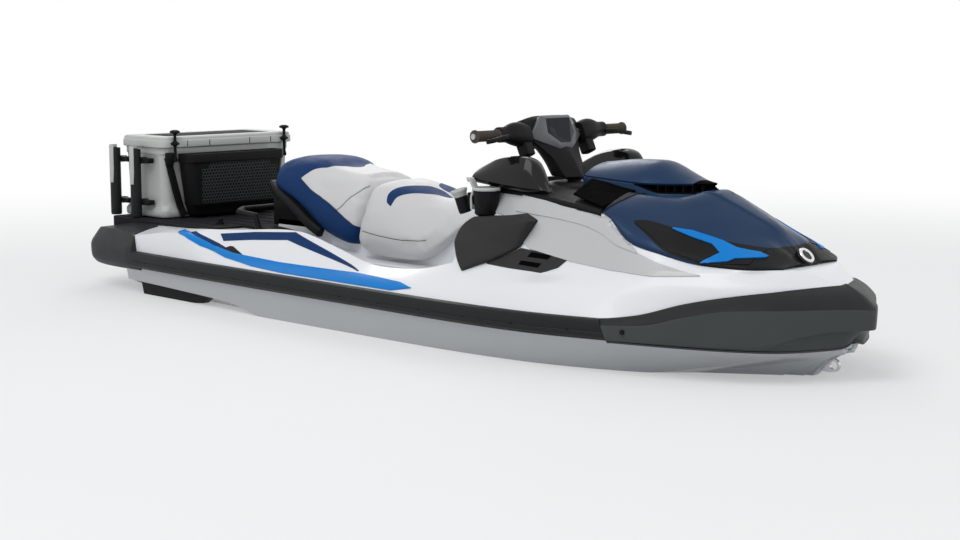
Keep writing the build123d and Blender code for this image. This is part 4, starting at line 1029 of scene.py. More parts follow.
def make_hood():
    """Hood shell with its dark lower band, and the cowl on it."""
    columns = [hood_column(x) for x in spread(HOOD_X[0], HOOD_X[1], 26)]
    bm, _ = skin(columns, {0: 1.0, 3: 0.75, 5: 0.8, 6: 0.8}, {0: 1.0, 25: 1.0})
    hood = piece("hood_shell", both_sides(bm), "hood_navy", "front_hood", ["hood"], levels=2,
        wall=0.005, tints=["black_satin"])
    split_along(hood, trim_share)
    hood.data.set_sharp_from_angle(angle=math.radians(SHARP))
    make_cowl()


TRIM_TOP_Z = curve([(1.114, 0.487), (1.139, 0.492), (1.251, 0.474), (1.339, 0.456), (1.416, 0.437),
    (1.47, 0.428), (1.575, 0.412), (1.62, 0.41)])
TRIM_LOW_Z = curve([(1.114, 0.486), (1.202, 0.443), (1.292, 0.397), (1.34, 0.383), (1.4, 0.366),
    (1.44, 0.33)])


def trim_share(place):
    """Positive in the dark band along the lower part of the hood and round its nose."""
    return min(TRIM_TOP_Z(place.x) - place.z, place.z - TRIM_LOW_Z(place.x), place.x - 1.112)


def make_cowl():
    """Raised cowl on the hood: a shield-shaped top over an intake on each side, painted shade
    inside.
    """
    def column(x):
        top, wide, edge_z = SCOOP_TOP_Z(x), SCOOP_Y(x), SCOOP_EDGE_Z(x)
        open_ = min(1.0, max(0.0, (x - 0.985) / 0.05))
        deep = 0.045 * open_ * min(1.0, wide / 0.06)
        ahead = 0.055 * open_
        lip_z = edge_z - 0.004 - 0.024 * open_
        lip_y = wide + 0.004 + 0.016 * open_
        foot = lerp(0.566, 0.545, max(0.0, (x - 1.0) / 0.2)) - 0.022
        points = [(x, 0, top), (x, wide * 0.38, lerp(edge_z, top, 0.93)), (x, wide * 0.8,
            lerp(edge_z, top, 0.48)), (x, wide, edge_z + 0.003), (x, wide - 0.003, edge_z - 0.004),
            (x, wide - deep - 0.004, edge_z - 0.006), (x + ahead * 0.5, wide - deep
            - 0.002, lip_z + 0.003), (x + ahead, lip_y, lip_z), (x + ahead, lip_y + 0.007, foot)]
        return [Vector(p) for p in points]

    stations = spread(0.752, 0.96, 6) + spread(0.985, 1.225, 15)
    rows = {3: 0.9, 4: 0.9, 5: 0.6, 6: 0.6, 7: 0.9}
    bm, grid = skin([column(x) for x in stations], rows, {0: 1.0, len(stations) - 1: 0.6})
    bm.faces.ensure_lookup_table()
    # The intake mouths and the cowl's front end get the near-black finish: painted shade.
    for k, face in enumerate(bm.faces):
        if (k % 8 in (4, 5, 6) and k // 8 >= 6) or k // 8 >= 17:
            face.material_index = 1
    foot = bm.verts.new((0.752, 0, grid[0][-1].co.z))
    cap(bm, [foot] + grid[0][::-1])
    both_sides(bm)
    piece("hood_cowl", bm, "hood_navy", "front_hood", ["hood_vents"], levels=2, tints=["recess"])
    slats = []
    for side in (1, -1):
        for x in spread(1.06, 1.19, 6):
            slats.append(side_box(side, (x, SCOOP_Y(x) - 0.04, 0.569),
                (x + 0.003, SCOOP_Y(x) - 0.012, 0.594)))
    piece("cowl_slats", combine(*slats), "black_plastic", "front_hood")


def make_hood_trims():
    """Side panels, blue trims, rear flaps and the plain nose ring of the hood."""
    surface = surface_of("hood_shell")
    upper = [(1.13, 0.482), (1.145, 0.486), (1.251, 0.469), (1.339, 0.45), (1.416, 0.431),
        (1.47, 0.422), (1.535, 0.412)]
    lower = [(1.13, 0.48), (1.207, 0.447), (1.297, 0.403), (1.34, 0.39), (1.4, 0.376),
        (1.46, 0.372), (1.54, 0.374)]
    top_edge = [(1.255, 0.471), (1.314, 0.464), (1.378, 0.446), (1.413, 0.436), (1.466, 0.417),
        (1.53, 0.405), (1.556, 0.394)]
    low_edge = [(1.257, 0.468), (1.289, 0.458), (1.33, 0.445), (1.395, 0.426), (1.434, 0.403),
        (1.488, 0.388), (1.556, 0.391)]
    barb_top = [(1.44, 0.405), (1.418, 0.387), (1.398, 0.373)]
    barb_low = [(1.49, 0.388), (1.477, 0.379), (1.398, 0.371)]
    trims = panel_pair(surface, lower, upper, 0.002, 12, 60, 0.005)
    piece("hood_side_panels", trims, "black_satin", "front_hood", ["hood_side_trims"])
    accents = combine(panel_pair(surface, low_edge, top_edge, 0.005, 6, 60, 0.007),
        panel_pair(surface, barb_low, barb_top, 0.005, 4, 16, 0.007))
    piece("hood_blue_trims", accents, "light_blue", "front_hood", ["hood_accents"])
    near = [(1.004, 0.318), (1.004, 0.15)]
    far = [(1.008, 0.318), (1.046, 0.15)]
    flaps = panel_pair(surface, near, far, 0.0025, 5, 20, 0.006, above=True)
    piece("hood_rear_flaps", flaps, "black_plastic", "front_hood")
    place = at((1.597, 0, 0.3845), (0, 46, 0))
    disc = turned([(0, 0.006), (0.026, 0.006), (0.03, 0.003), (0.033, 0), (0.033, -0.02),
        (0, -0.02)], place)
    piece("nose_disc", disc, "black_gloss", "front_hood")
    ring = turned([(0.019, 0.0065), (0.02, 0.0095), (0.0285, 0.0095), (0.03, 0.0065),
        (0.0285, 0.004), (0.02, 0.004)], place, closed=True)
    piece("nose_ring", ring, "badge_silver", "front_hood", ["hood_badge"])


# ---- console, wings and side panels -------------------------------------------------------------
CONSOLE_TOP = curve([(0.432, 0.574), (0.6, 0.566), (0.83, 0.546), (0.992, 0.528)])


def make_console():
    """Console cover ahead of the seat, and the dark plates beside the cowl."""
    def column(x):
        top, edge = CONSOLE_TOP(x), EDGE_Y(x)
        hollow = 0.018 if x > 0.45 else 0.0
        points = [(edge + 0.004, top - 0.05), (edge + 0.01, top - 0.022),
            (edge + 0.004, top - 0.012), (edge - 0.03, top - 0.002), (edge - 0.1, top + 0.008),
            (0.147, top + 0.006 - hollow * 0.2), (0.143, top + 0.004 - hollow),
            (0, top + 0.004 - hollow)]
        return station(x, points)

    stations = [0.436, 0.448, 0.452] + spread(0.48, 0.733, 9) + spread(0.737, 0.995, 12)
    rows = {0: 1.0, 1: 0.8, 2: 0.7, 4: 0.5, 5: 0.7, 6: 0.9}
    bm, _ = skin([column(x) for x in stations], rows, {0: 1.0, 1: 0.9, 2: 0.9, 23: 1.0})
    piece("console_cover", both_sides(bm), "black_satin", replaces=["console"], levels=2,
        wall=0.005)
    wings = []
    for side in (1, -1):
        corners = [(0.8, 0.148, 0.602), (0.997, 0.148, 0.573), (0.997, 0.318, 0.528),
            (0.84, 0.29, 0.56)]
        plate, _ = skin([[Vector((x, side * y, z)) for x, y, z in pair] for pair in ((corners[0],
            corners[3]), (corners[1], corners[2]))])
        wings.append(plate)
    # The V plates take the near-black, sheenless finish that paints shade in the intakes and slots.
    piece("console_v_plates", tidy(combine(*wings)), "recess", wall=0.006, bevel=0.0015)


def make_mirrors():
    """Mirror housings with their glasses, facing aft."""
    crown = curve([(0, 0.622), (0.15, 0.645), (0.3, 0.664), (0.5, 0.677), (0.65, 0.679),
        (0.78, 0.668), (0.9, 0.625), (1, 0.56)])
    shells = []
    for side in (1, -1):
        columns = []
        for x in spread(0.382, 0.72, 16):
            t = (x - 0.382) / 0.338
            top = crown(t)
            low = 0.574 - 0.026 * t
            inner, outer = 0.232 + 0.08 * (0.72 - x), 0.322 + 0.008 * math.sin(math.pi * t)
            nip = 0.03 * max(0.0, t - 0.75) / 0.25
            inner, outer = inner + nip, outer - nip
            points = [(inner, low), (outer - 0.004, low), (outer + 0.008, low + 0.014),
                (outer + 0.002, lerp(low, top, 0.55)), (outer - 0.024, top - 0.004),
                (lerp(inner, outer, 0.4), top), (inner + 0.006, top - 0.01), (inner - 0.002,
                lerp(low, top, 0.5))]
            columns.append(station(x, points, side))
        shells.append(shell(columns, {0: 0.9, 1: 0.9, 2: 0.7, 4: 0.5, 6: 0.5}))
    piece("mirror_housings", combine(*shells), "black_gloss", replaces=["mirrors"], levels=2)
    glasses = []
    for side in (1, -1):
        rim = station(0.3815, ((0.268, 0.58), (0.316, 0.58), (0.314, 0.6), (0.27, 0.6)), side)
        bm = bmesh.new()
        bm.faces.new([bm.verts.new(p) for p in rim])
        glasses.append(bm)
    piece("mirror_glasses", tidy(combine(*glasses)), "badge_silver", wall=0.0015)


def make_side_panels():
    """Grey panels on the deck's sides and the fold along their top."""
    surface = surface_of("deck_moulding")
    upper = [(0.445, 0.54), (0.6, 0.542), (0.8, 0.524), (0.99, 0.509), (1.077, 0.47), (1.145, 0.42),
        (1.19, 0.389), (1.263, 0.367), (1.358, 0.346), (1.421, 0.338)]
    lower = [(0.455, 0.48), (0.56, 0.47), (0.629, 0.45), (0.673, 0.42), (0.712, 0.383),
        (0.746, 0.369), (0.839, 0.356), (0.932, 0.344), (1.107, 0.331), (1.267, 0.325),
        (1.421, 0.335)]
    panels = panel_pair(surface, lower, upper, 0.004, 14, 90, 0.012)
    piece("side_panel_skins", panels, "panel_grey", replaces=["side_panels"])
    fold_top = [(0.62, 0.54), (0.8, 0.5225), (0.99, 0.5075), (1.077, 0.4685), (1.145, 0.4185),
        (1.187, 0.3895)]
    fold_low = outline_path([(0.62, 0.486), (0.729, 0.48), (0.87, 0.47), (0.96, 0.458),
        (1.03, 0.44), (1.1, 0.41), (1.189, 0.389)], True)
    folds = panel_pair(surface_of("side_panel_skins"), fold_low, fold_top, 0.0035, 8, 60, 0.006)
    piece("side_panel_folds", folds, "panel_grey")


def make_trims():
    """Light blue strips along the gunwales and the dark stripe on the deck ridge."""
    surface = surface_of("deck_moulding")
    upper = [(-1.13, 0.293), (-1.085, 0.29), (-0.906, 0.248), (-0.755, 0.231), (-0.46, 0.223),
        (0, 0.223), (0.246, 0.218), (0.322, 0.207)]
    lower = [(-1.125, 0.286), (-1.073, 0.276), (-0.969, 0.243), (-0.796, 0.212), (-0.6, 0.1965),
        (-0.4, 0.1905), (0, 0.19), (0.232, 0.1895), (0.318, 0.204)]
    strips = panel_pair(surface, lower, upper, 0.003, 5, 120, 0.008, 0.002)
    piece("gunwale_strips", strips, "light_blue", replaces=["gunwale_trims"])
    top = [(-0.92, 0.292), (-0.7, 0.316), (-0.45, 0.335), (-0.02, 0.23)]
    low = [(-0.87, 0.268), (-0.7, 0.286), (-0.475, 0.304), (-0.02, 0.228)]
    piece("deck_stripes", panel_pair(surface, low, top, 0.0012, 4, 90, 0.004), "seat_navy")


# ---- seats --------------------------------------------------------------------------------------
SEAT_SPLIT_X = -0.392
SEAT_TOP_Z = curve([(-1.005, 0.535), (-0.96, 0.572), (-0.85, 0.585), (-0.72, 0.58), (-0.65, 0.551),
    (-0.5, 0.534), (-0.313, 0.519), (-0.166, 0.502), (-0.02, 0.478), (0.12, 0.484), (0.286, 0.506)])
SEAT_LOW_Z = curve([(-1.005, 0.476), (-0.9, 0.442), (-0.82, 0.425), (-0.7, 0.365), (-0.6, 0.3),
    (-0.46, 0.262), (-0.373, 0.248), (-0.2, 0.224), (-0.03, 0.23), (0.05, 0.27), (0.14, 0.34),
    (0.208, 0.394), (0.286, 0.45)])
SEAT_TOP_Y = curve([(-1.005, 0.105), (-0.92, 0.15), (-0.74, 0.172), (-0.39, 0.158), (-0.187, 0.14),
    (0, 0.108), (0.286, 0.088)])
SEAT_LOW_Y = curve([(-1.005, 0.15), (-0.92, 0.205), (-0.74, 0.228), (-0.3, 0.248), (0, 0.244),
    (0.12, 0.222), (0.286, 0.15)])
PAD_VOXEL = 0.008
PAD_PRESSURE = 4.0
PAD_STEPS = 20
PAD_SWELL = 0.01  # furthest that a point may move


def seat_column(x):
    """Half-section of the seats, from the base round to the top."""
    low, top = SEAT_LOW_Z(x), SEAT_TOP_Z(x)
    low_y, top_y = SEAT_LOW_Y(x), SEAT_TOP_Y(x)
    bulge = 0.01
    points = [(0, low), (low_y - 0.035, low), (low_y - 0.006, lerp(low, top, 0.1)),
        (lerp(low_y, top_y, 0.3) + bulge, lerp(low, top, 0.34)), (lerp(low_y, top_y, 0.66) + bulge,
        lerp(low, top, 0.66)), (top_y + 0.004, lerp(low, top, 0.9)), (top_y - 0.03,
        lerp(low, top, 0.985)), (top_y * 0.45, top), (0, top + 0.002)]
    return station(x, points)


def cushion(low_x, high_x):
    """Closed cushion between two stations, pulled in at its ends."""
    columns = [seat_column(x) for x in spread(low_x, high_x, 15)]
    for column in (columns[0], columns[-1]):
        middle = Vector((column[0].x, 0, (column[0].z + column[-1].z) / 2))
        column[:] = [p.lerp(middle, 0.06) for p in column]
    bm, grid = skin(columns)
    cap(bm, grid[0][::-1], 0.0)
    cap(bm, grid[-1], 0.0)
    return both_sides(bm)


def inflate(obj):
    """Fills a cushion: cloth under pressure, pinned along its base, with its swell capped."""
    remesh = obj.modifiers.new("grain", "REMESH")
    remesh.mode = "VOXEL"
    remesh.voxel_size = PAD_VOXEL
    bake(obj)
    start = [v.co.copy() for v in obj.data.vertices]
    base = [v.index for v in obj.data.vertices if v.co.z < SEAT_LOW_Z(v.co.x) + 0.012]
    group = obj.vertex_groups.new(name="base")
    group.add(base, 1.0, "REPLACE")
    cloth = obj.modifiers.new("cloth", "CLOTH")
    cloth.settings.use_pressure = True
    cloth.settings.uniform_pressure_force = PAD_PRESSURE
    cloth.settings.effector_weights.gravity = 0.0
    cloth.settings.vertex_group_mass = "base"
    cloth.settings.quality = 5
    cloth.settings.tension_stiffness = 40.0
    cloth.collision_settings.use_collision = False
    for step in range(1, PAD_STEPS + 1):
        bpy.context.scene.frame_set(step)
    bake(obj)
    bpy.context.scene.frame_set(1)
    obj.vertex_groups.clear()
    for vertex, old in zip(obj.data.vertices, start):
        move = vertex.co - old
        if move.length > PAD_SWELL:
            vertex.co = old + move * (PAD_SWELL / move.length)
    smooth = obj.modifiers.new("even", "SMOOTH")
    smooth.iterations = 6
    smooth.factor = 0.5
    split = obj.modifiers.new("fine", "SUBSURF")
    split.levels = split.render_levels = 1
    bake(obj)
    obj.data.shade_smooth()


def make_seats():
    """Both padded cushions, with their covers, trim and base."""
    driver = piece("driver_cushion", cushion(SEAT_SPLIT_X + 0.004, 0.28), "seat_vinyl",
        replaces=["driver_seat"], levels=2)
    passenger = piece("passenger_cushion", cushion(-1.0, SEAT_SPLIT_X - 0.004), "seat_vinyl",
        replaces=["passenger_seat"], levels=2, tints=["seat_navy"])
    for pad in (driver, passenger):
        inflate(pad)
    split_along(passenger, navy_share)
    make_seat_trim()
    make_seat_base()


NAVY_REAR_X = curve([(0, -0.606), (0.025, -0.613), (0.054, -0.637), (0.097, -0.656),
    (0.139, -0.683), (0.181, -0.725), (0.196, -0.748), (0.204, -0.761)])
NAVY_SIDE_Z = curve([(-0.775, 0.53), (-0.761, 0.518), (-0.715, 0.492), (-0.673, 0.468),
    (-0.617, 0.445), (-0.564, 0.425), (-0.456, 0.375), (-0.416, 0.349), (-0.39, 0.328)])


def navy_share(place):
    """Positive on the passenger seat's navy cover: its rear hump and the band along each side."""
    return max(NAVY_REAR_X(abs(place.y)) - place.x, NAVY_SIDE_Z(place.x) - place.z)


def make_seat_trim():
    """Navy crescents on the driver's seat, and sewn seams with their stitches."""
    surface = surface_of("driver_cushion")
    outer = [(-0.219, 0.178, 0.429), (-0.247, 0.173, 0.444), (-0.262, 0.153, 0.477),
        (-0.245, 0.12, 0.501), (-0.198, 0.068, 0.505), (-0.15, 0.018, 0.502), (-0.1, 0.008, 0.492),
        (-0.05, 0.02, 0.484), (-0.004, 0.048, 0.478)]
    inner = [(-0.217, 0.175, 0.432), (-0.214, 0.158, 0.459), (-0.179, 0.133, 0.48),
        (-0.118, 0.094, 0.486), (-0.065, 0.057, 0.482), (-0.004, 0.05, 0.478)]
    crescents, seams, stitches = [], [], []
    lines = [("driver_cushion", [(-0.34, 0.235, 0.33), (-0.22, 0.238, 0.318), (-0.1, 0.236, 0.312),
        (0.02, 0.228, 0.322)]), ("passenger_cushion", [(-0.52, 0.216, 0.392),
        (-0.494, 0.214, 0.406), (-0.461, 0.196, 0.445), (-0.422, 0.163, 0.481),
        (-0.41, 0.12, 0.498)]), ("passenger_cushion", [(-0.761, 0.204, 0.518),
        (-0.673, 0.211, 0.468), (-0.564, 0.213, 0.425), (-0.416, 0.214, 0.349)])]
    for side in (1, -1):
        near, far = [[(x, side * y, z) for x, y, z in line] for line in (outer, inner)]
        crescents.append(panel_mesh(draped(surface, near, far, 0.0012), 0.004))
        for name, line in lines:
            cover = surface_of(name)
            path = []
            for place in trail([(x, side * y, z) for x, y, z in line], 44):
                spot, normal, _, _ = cover.find_nearest(place)
                path.append(spot)
                stitches.append((spot + normal * 0.0004 + Vector((0, 0, 0.0045)), normal))
            seams.append(swept(path, circle(0.0013, 6)))
    piece("seat_crescents", combine(*crescents), "seat_navy")
    piece("seat_seams", combine(*seams), "knee_charcoal", sharp=60)
    studs("seat_stitches", stitches, 0.0009, 0.001, "mat_grey", sides=6)


def make_seat_base():
    """Dark seat pan under the passenger, with a grip along each side."""
    profile = [(-0.985, 0.3), (-0.62, 0.3), (-0.58, 0.305), (-0.7, 0.372), (-0.82, 0.432),
        (-0.9, 0.447), (-0.985, 0.466)]
    pan = shell([[Vector((x, y, z)) for x, z in profile] for y in (-0.165, 0.165)])
    piece("seat_pan", pan, "black_plastic", bevel=0.006)
    grips = []
    for side in (1, -1):
        path = trail([(-0.975, side * 0.172, 0.474), (-0.9, side * 0.2, 0.443),
            (-0.8, side * 0.216, 0.405), (-0.66, side * 0.226, 0.33), (-0.6, side * 0.222, 0.3)],
            24)
        section = [(-0.016, -0.02), (0.012, -0.02), (0.018, -0.01), (0.018, 0.012), (0.01, 0.02),
            (-0.016, 0.02)]
        grips.append(swept(path, section))
    piece("seat_side_grips", combine(*grips), "black_plastic", bevel=0.003)


# ---- steering -----------------------------------------------------------------------------------
STEER = at((0.59, 0, 0.56), (0, -25.5, 0))
BAR_U = -0.030  # handlebar, aft of the steering axis
BAR_H = 0.218
DOME_TOP_Z = 0.571


def steered(points):
    """(forward, side, up) places about the steering axis, in the craft's frame."""
    return [STEER @ Vector(p) for p in points]


def make_steering():
    make_dome()
    make_cowl_stem()
    make_pod()
    make_bar()


def make_dome():
    """Low squarish dome round the foot of the column."""
    profile = [(0.28, DOME_TOP_Z - 0.03), (0.28, DOME_TOP_Z - 0.001), (0.55, DOME_TOP_Z),
        (0.8, DOME_TOP_Z - 0.004), (0.95, DOME_TOP_Z - 0.016), (1.03, DOME_TOP_Z - 0.03),
        (1, DOME_TOP_Z - 0.045)]
    columns = []
    for i in range(64):
        c, s, square = rounded_square(2 * math.pi * i / 64)
        column = []
        for share, z in profile:
            r = 0.108 * share * lerp(1.0, square, max(0.0, share - 0.28) / 0.72)
            offset = lerp(0.012, -0.006, max(0.0, share - 0.28) / 0.72)
            column.append(Vector((0.578 + offset + r * c * 1.05, r * s * 1.12, z)))
        columns.append(column)
    bm, _ = skin(columns + columns[:1], closed=True)
    piece("steering_dome", tidy(bm), "black_satin", replaces=["steering_base"], levels=1, sharp=40)


def make_cowl_stem():
    """Y-shaped cowl: a narrow stem that spreads to the width of the pod."""
    def ring(t):
        h = lerp(0.048, 0.205, t)
        wide = lerp(0.058, 0.138, t ** 1.7) + 0.004
        front = BAR_U + lerp(0.064, 0.028, t)
        back = BAR_U - lerp(0.042, 0.04, t)
        ridge = 0.012 * (1 - t)
        points = [(front + ridge, 0), (front, wide * 0.45), (front - 0.014 - 0.01 * t, wide),
            (lerp(front, back, 0.6), wide * 0.98), (back, wide * 0.62), (back - 0.004, 0)]
        ring_points = points + [(u, -y) for u, y in points[-2:0:-1]]
        places = []
        for u, y in ring_points:
            foot = (0.026 - 0.4305 * u) / 0.9026 + 0.002
            low = max(0.0, 1 - t * 3.0)
            places.append((u, y, lerp(h, foot, low)))
        return steered(places)

    cowl = shell([ring(t) for t in spread(0.0, 1.0, 12)], {0: 0.5, 2: 0.8, 8: 0.8},
        {0: 0.8, 11: 0.8}, 0.8, 0.8)
    piece("column_cowl", cowl, "black_plastic", "steering", ["steering_column"], levels=2)
    shaft = turned([(0, -0.03), (0.022, -0.03), (0.022, 0.008), (0.0265, 0.01), (0.0265, 0.016),
        (0.022, 0.018), (0.022, 0.024), (0.0265, 0.026), (0.0265, 0.032), (0.022, 0.034),
        (0.022, 0.075), (0, 0.075)], STEER, 32)
    piece("column_shaft", shaft, "black_plastic", "steering", sharp=60)


def make_pod():
    """Faceted pod on the handlebar, with a dark glass panel ahead and a display behind."""
    columns = []
    for y in spread(-0.152, 0.152, 13):
        share = abs(y) / 0.152
        drop = 0.03 * max(0.0, share - 0.55)
        back = 0.022 * share ** 2
        columns.append(steered([(-0.098 + back, y, 0.205), (-0.06, y, 0.15 + 0.03 * share),
            (-0.012 - back, y, 0.146 + 0.035 * share), (-0.002 - back, y, 0.2),
            (-0.004 - back, y, 0.266 - drop), (-0.02 - back * 0.5, y, 0.283 - drop),
            (-0.072 + back * 0.4, y, 0.287 - drop), (-0.1 + back, y, 0.262 - drop)]))
    pod = shell(columns, {0: 0.8, 1: 0.6, 4: 0.8, 5: 0.7, 6: 0.8, 7: 0.8}, {0: 0.8, 12: 0.8}, 0.8,
        0.8)
    piece("bar_pod", pod, "black_plastic", "steering", ["gauge_cover"], levels=2)
    outer = [(0.01, 0.078, 0.27), (-0.016, 0.138, 0.198), (0.014, 0.034, 0.134),
        (0.014, -0.034, 0.134), (-0.016, -0.138, 0.198), (0.01, -0.078, 0.27)]
    inner = [(0.02, 0.066, 0.256), (0.014, 0.074, 0.2), (0.022, 0.026, 0.154),
        (0.022, -0.026, 0.154), (0.014, -0.074, 0.2), (0.02, -0.066, 0.256)]
    back = [(u - 0.022, y * 0.97, h) for u, y, h in outer]
    piece("pod_face", shell([steered(back), steered(outer), steered(inner)]), "pod_grey",
        "steering", bevel=0.003)
    glass = [(u + 0.0012, y * 0.95, lerp(h, 0.205, 0.05)) for u, y, h in inner]
    sunk = [(u - 0.004, y, h) for u, y, h in glass]
    piece("pod_glass", shell([steered(sunk), steered(glass)]), "dark_glass", "steering")
    screen = moved(box_mesh((-0.104, -0.072, 0.205), (-0.094, 0.072, 0.27), 0.002), STEER)
    piece("rider_display", screen, "dark_glass", "steering")


def make_bar():
    """Handlebar with grips, switch housings, levers and buttons."""
    bar = swept(steered_path([(BAR_U, -0.41, BAR_H), (BAR_U, 0, BAR_H), (BAR_U, 0.41, BAR_H)], 3),
        circle(0.0105, 20))
    piece("bar_tube", bar, "aluminium", "steering", ["handlebar"], sharp=40)
    grips, housings, levers, buttons, ribs = [], [], [], [], []
    for side in (1, -1):
        path = steered_path([(BAR_U, side * 0.286, BAR_H), (BAR_U, side * 0.402, BAR_H)], 30)
        def girth(t):
            r = 0.0165 + 0.0022 * math.sin(math.pi * t) + (0.007 if t > 0.965 or t < 0.03 else 0.0)
            return circle(r, 28)
        grips.append(swept(path, girth))
        for k in range(9):
            for j in range(14):
                a = 2 * math.pi * j / 14
                y = side * (0.304 + 0.0098 * k)
                out = Vector((math.cos(a), 0, math.sin(a)))
                spot = Vector((BAR_U, y, BAR_H)) + out * 0.0178
                ribs.append((STEER @ spot, STEER.to_3x3() @ out))
        columns = []
        for t in spread(0.0, 1.0, 9):
            y = lerp(0.14, 0.286, t)
            fat = 0.62 + 0.38 * math.sin(math.pi * min(1.0, t * 1.15 + 0.18)) ** 0.7
            drop = 0.02 * max(0.0, 0.45 - t)
            ring = []
            for j in range(12):
                c, s, square = rounded_square(2 * math.pi * j / 12)
                ring.append((BAR_U + 0.004 + 0.037 * fat * square * c, side * y, BAR_H - drop
                    + 0.046 * fat * square * s))
            columns.append(steered(ring))
        housings.append(shell(columns, {}, {0: 0.7, 8: 0.7}, 0.7, 0.7))
        foot = side_box(side, (BAR_U - 0.024, 0.145, 0.128), (BAR_U + 0.026, 0.188, 0.19), 0.008, 3)
        housings.append(moved(foot, STEER))
        blade = steered_path([(0, side * 0.262, BAR_H - 0.018), (0.014, side * 0.3, BAR_H - 0.026),
            (0.016, side * 0.36, BAR_H - 0.036), (0.01, side * 0.392, BAR_H - 0.038)], 24)
        levers.append(swept(blade, [(-0.0045, -0.008), (0.0045, -0.008), (0.006, 0),
            (0.0045, 0.008), (-0.0045, 0.008)]))
        for k, (y, h) in enumerate(((0.2, 0.24), (0.225, 0.222), (0.2, 0.205))):
            button = at(STEER @ Vector((BAR_U - 0.033, side * y, h)), (0, -115.5, 0))
            buttons.append(turned([(0, 0.006), (0.007, 0.006), (0.009, 0.003), (0.009, -0.006),
                (0, -0.006)], button, 20))
    piece("bar_grips", combine(*grips), "grip_rubber", "steering", ["handlebar_grips"], sharp=50)
    studs("grip_studs", ribs, 0.003, 0.0022, "grip_rubber", "steering", 8)
    piece("bar_switches", combine(*housings), "black_plastic", "steering", ["switch_housings"],
        levels=2, sharp=45)
    piece("bar_levers", combine(*levers), "black_plastic", "steering", ["control_levers"],
        bevel=0.0015)
    piece("bar_buttons", combine(*buttons), "bumper_side", "steering")


def steered_path(points, count):
    """Smooth path through places about the steering axis."""
    return trail(steered(points), count)


# ---- cooler and its racks -----------------------------------------------------------------------
COOLER_X = (-1.83, -1.512)
COOLER_Y = 0.358
COOLER_Z = (0.3, 0.606)


CORNER_STEPS = 6


def rounded_ring(x, y, radius, z):
    """Ring of a rounded rectangle; x and y are (low, high)."""
    ring = []
    corners = [(x[1] - radius, y[1] - radius, 0), (x[0] + radius, y[1] - radius, 90),
        (x[0] + radius, y[0] + radius, 180), (x[1] - radius, y[0] + radius, 270)]
    for cx, cy, start in corners:
        for k in range(CORNER_STEPS):
            a = math.radians(start + 90 * k / (CORNER_STEPS - 1))
            ring.append(Vector((cx + radius * math.cos(a), cy + radius * math.sin(a), z)))
    return ring


def stacked(levels):
    """Closed stack of rounded rectangles: (x low, x high, half-width, radius, z) levels."""
    return shell([rounded_ring((x0, x1), (-w, w), r, z) for x0, x1, w, r, z in levels])


def make_cooler():
    """Cooler tub with walls and floor, its lid, pad and finger grooves."""
    x0, x1 = COOLER_X
    foot, rim = COOLER_Z
    half = COOLER_Y
    wall = 0.026
    body = stacked([(x0 + 0.004, x1 - 0.004, half - 0.004, 0.03, foot), (x0, x1, half, 0.034, foot
        + 0.01), (x0, x1, half, 0.034, foot + 0.03), (x0 + 0.01, x1 - 0.012, half
        - 0.012, 0.04, foot + 0.052), (x0 + 0.012, x1 - 0.014, half - 0.014, 0.04, foot + 0.075),
        (x0 + 0.009, x1 - 0.009, half - 0.009, 0.034, rim - 0.03), (x0 + 0.006, x1 - 0.006, half
        - 0.006, 0.03, rim - 0.026), (x0 + 0.006, x1 - 0.006, half - 0.006, 0.03, rim),
        (x0 + 0.009, x1 - 0.009, half - 0.009, 0.028, rim + 0.001), (x0 + wall, x1 - wall, half
        - wall, 0.02, rim + 0.001), (x0 + wall, x1 - wall, half - wall, 0.02, foot + 0.034)])
    piece("cooler_tub", body, "cooler_grey", replaces=["cooler_body"], bevel=0.002)
    low = rim + 0.002
    lid = stacked([(x0 + 0.004, x1 + 0.004, half + 0.004, 0.03, low), (x0, x1 + 0.008, half + 0.008,
        0.034, low + 0.003), (x0, x1 + 0.008, half + 0.008, 0.034, low + 0.03),
        (x0 + 0.003, x1 + 0.004, half + 0.004, 0.034, low + 0.033), (x0 + 0.003, x1 + 0.004, half
        + 0.004, 0.034, low + 0.042), (x0 + 0.01, x1 - 0.004, half - 0.004, 0.03, low + 0.0475),
        (x0 + 0.044, x1 - 0.05, half - 0.075, 0.02, low + 0.0475), (x0 + 0.05, x1 - 0.056, half
        - 0.081, 0.018, low + 0.036)])
    piece("cooler_top", lid, "cooler_grey", "cooler_cover", ["cooler_lid"], bevel=0.0015)
    pad = stacked([(x0 + 0.051, x1 - 0.057, half - 0.082, 0.016, low + 0.035),
        (x0 + 0.051, x1 - 0.057, half - 0.082, 0.016, low + 0.0465)])
    piece("lid_pad", pad, "mat_black", "cooler_cover", bevel=0.0015)
    notches = []
    for side in (1, -1):
        for y in (0.11, 0.23):
            notches.append(side_box(side, (x1 + 0.0065, y, low + 0.004),
                (x1 + 0.0092, y + 0.003, low + 0.03)))
    piece("lid_grooves", combine(*notches), "basket_black", "cooler_cover")
    make_latches(low)
    make_basket(foot)
    make_strap(foot)
    make_rod_tubes(foot)


def make_latches(low):
    """Rubber T-latches with a round grip above the lid and a keeper below."""
    parts = []
    front = COOLER_X[1] + 0.008
    for side in (1, -1):
        y = side * (COOLER_Y - 0.054)
        place = at((front + 0.009, y, low - 0.062))
        parts.append(turned([(0, 0), (0.008, 0), (0.01, 0.01), (0.0065, 0.022), (0.0065, 0.07),
            (0.01, 0.074), (0.019, 0.078), (0.02, 0.083), (0.01, 0.09), (0.0068, 0.096),
            (0.0068, 0.121), (0.012, 0.126), (0.022, 0.129), (0.0225, 0.136), (0.012, 0.141),
            (0, 0.142)], place, 32))
    piece("cooler_t_latches", combine(*parts), "latch_rubber", "cooler_cover", ["cooler_latches"],
        sharp=45)


NET_PITCH = 0.0155
NET_WIRE = 0.0016
NET_RIM = 0.54  # radius of a rim, as a share of the pitch


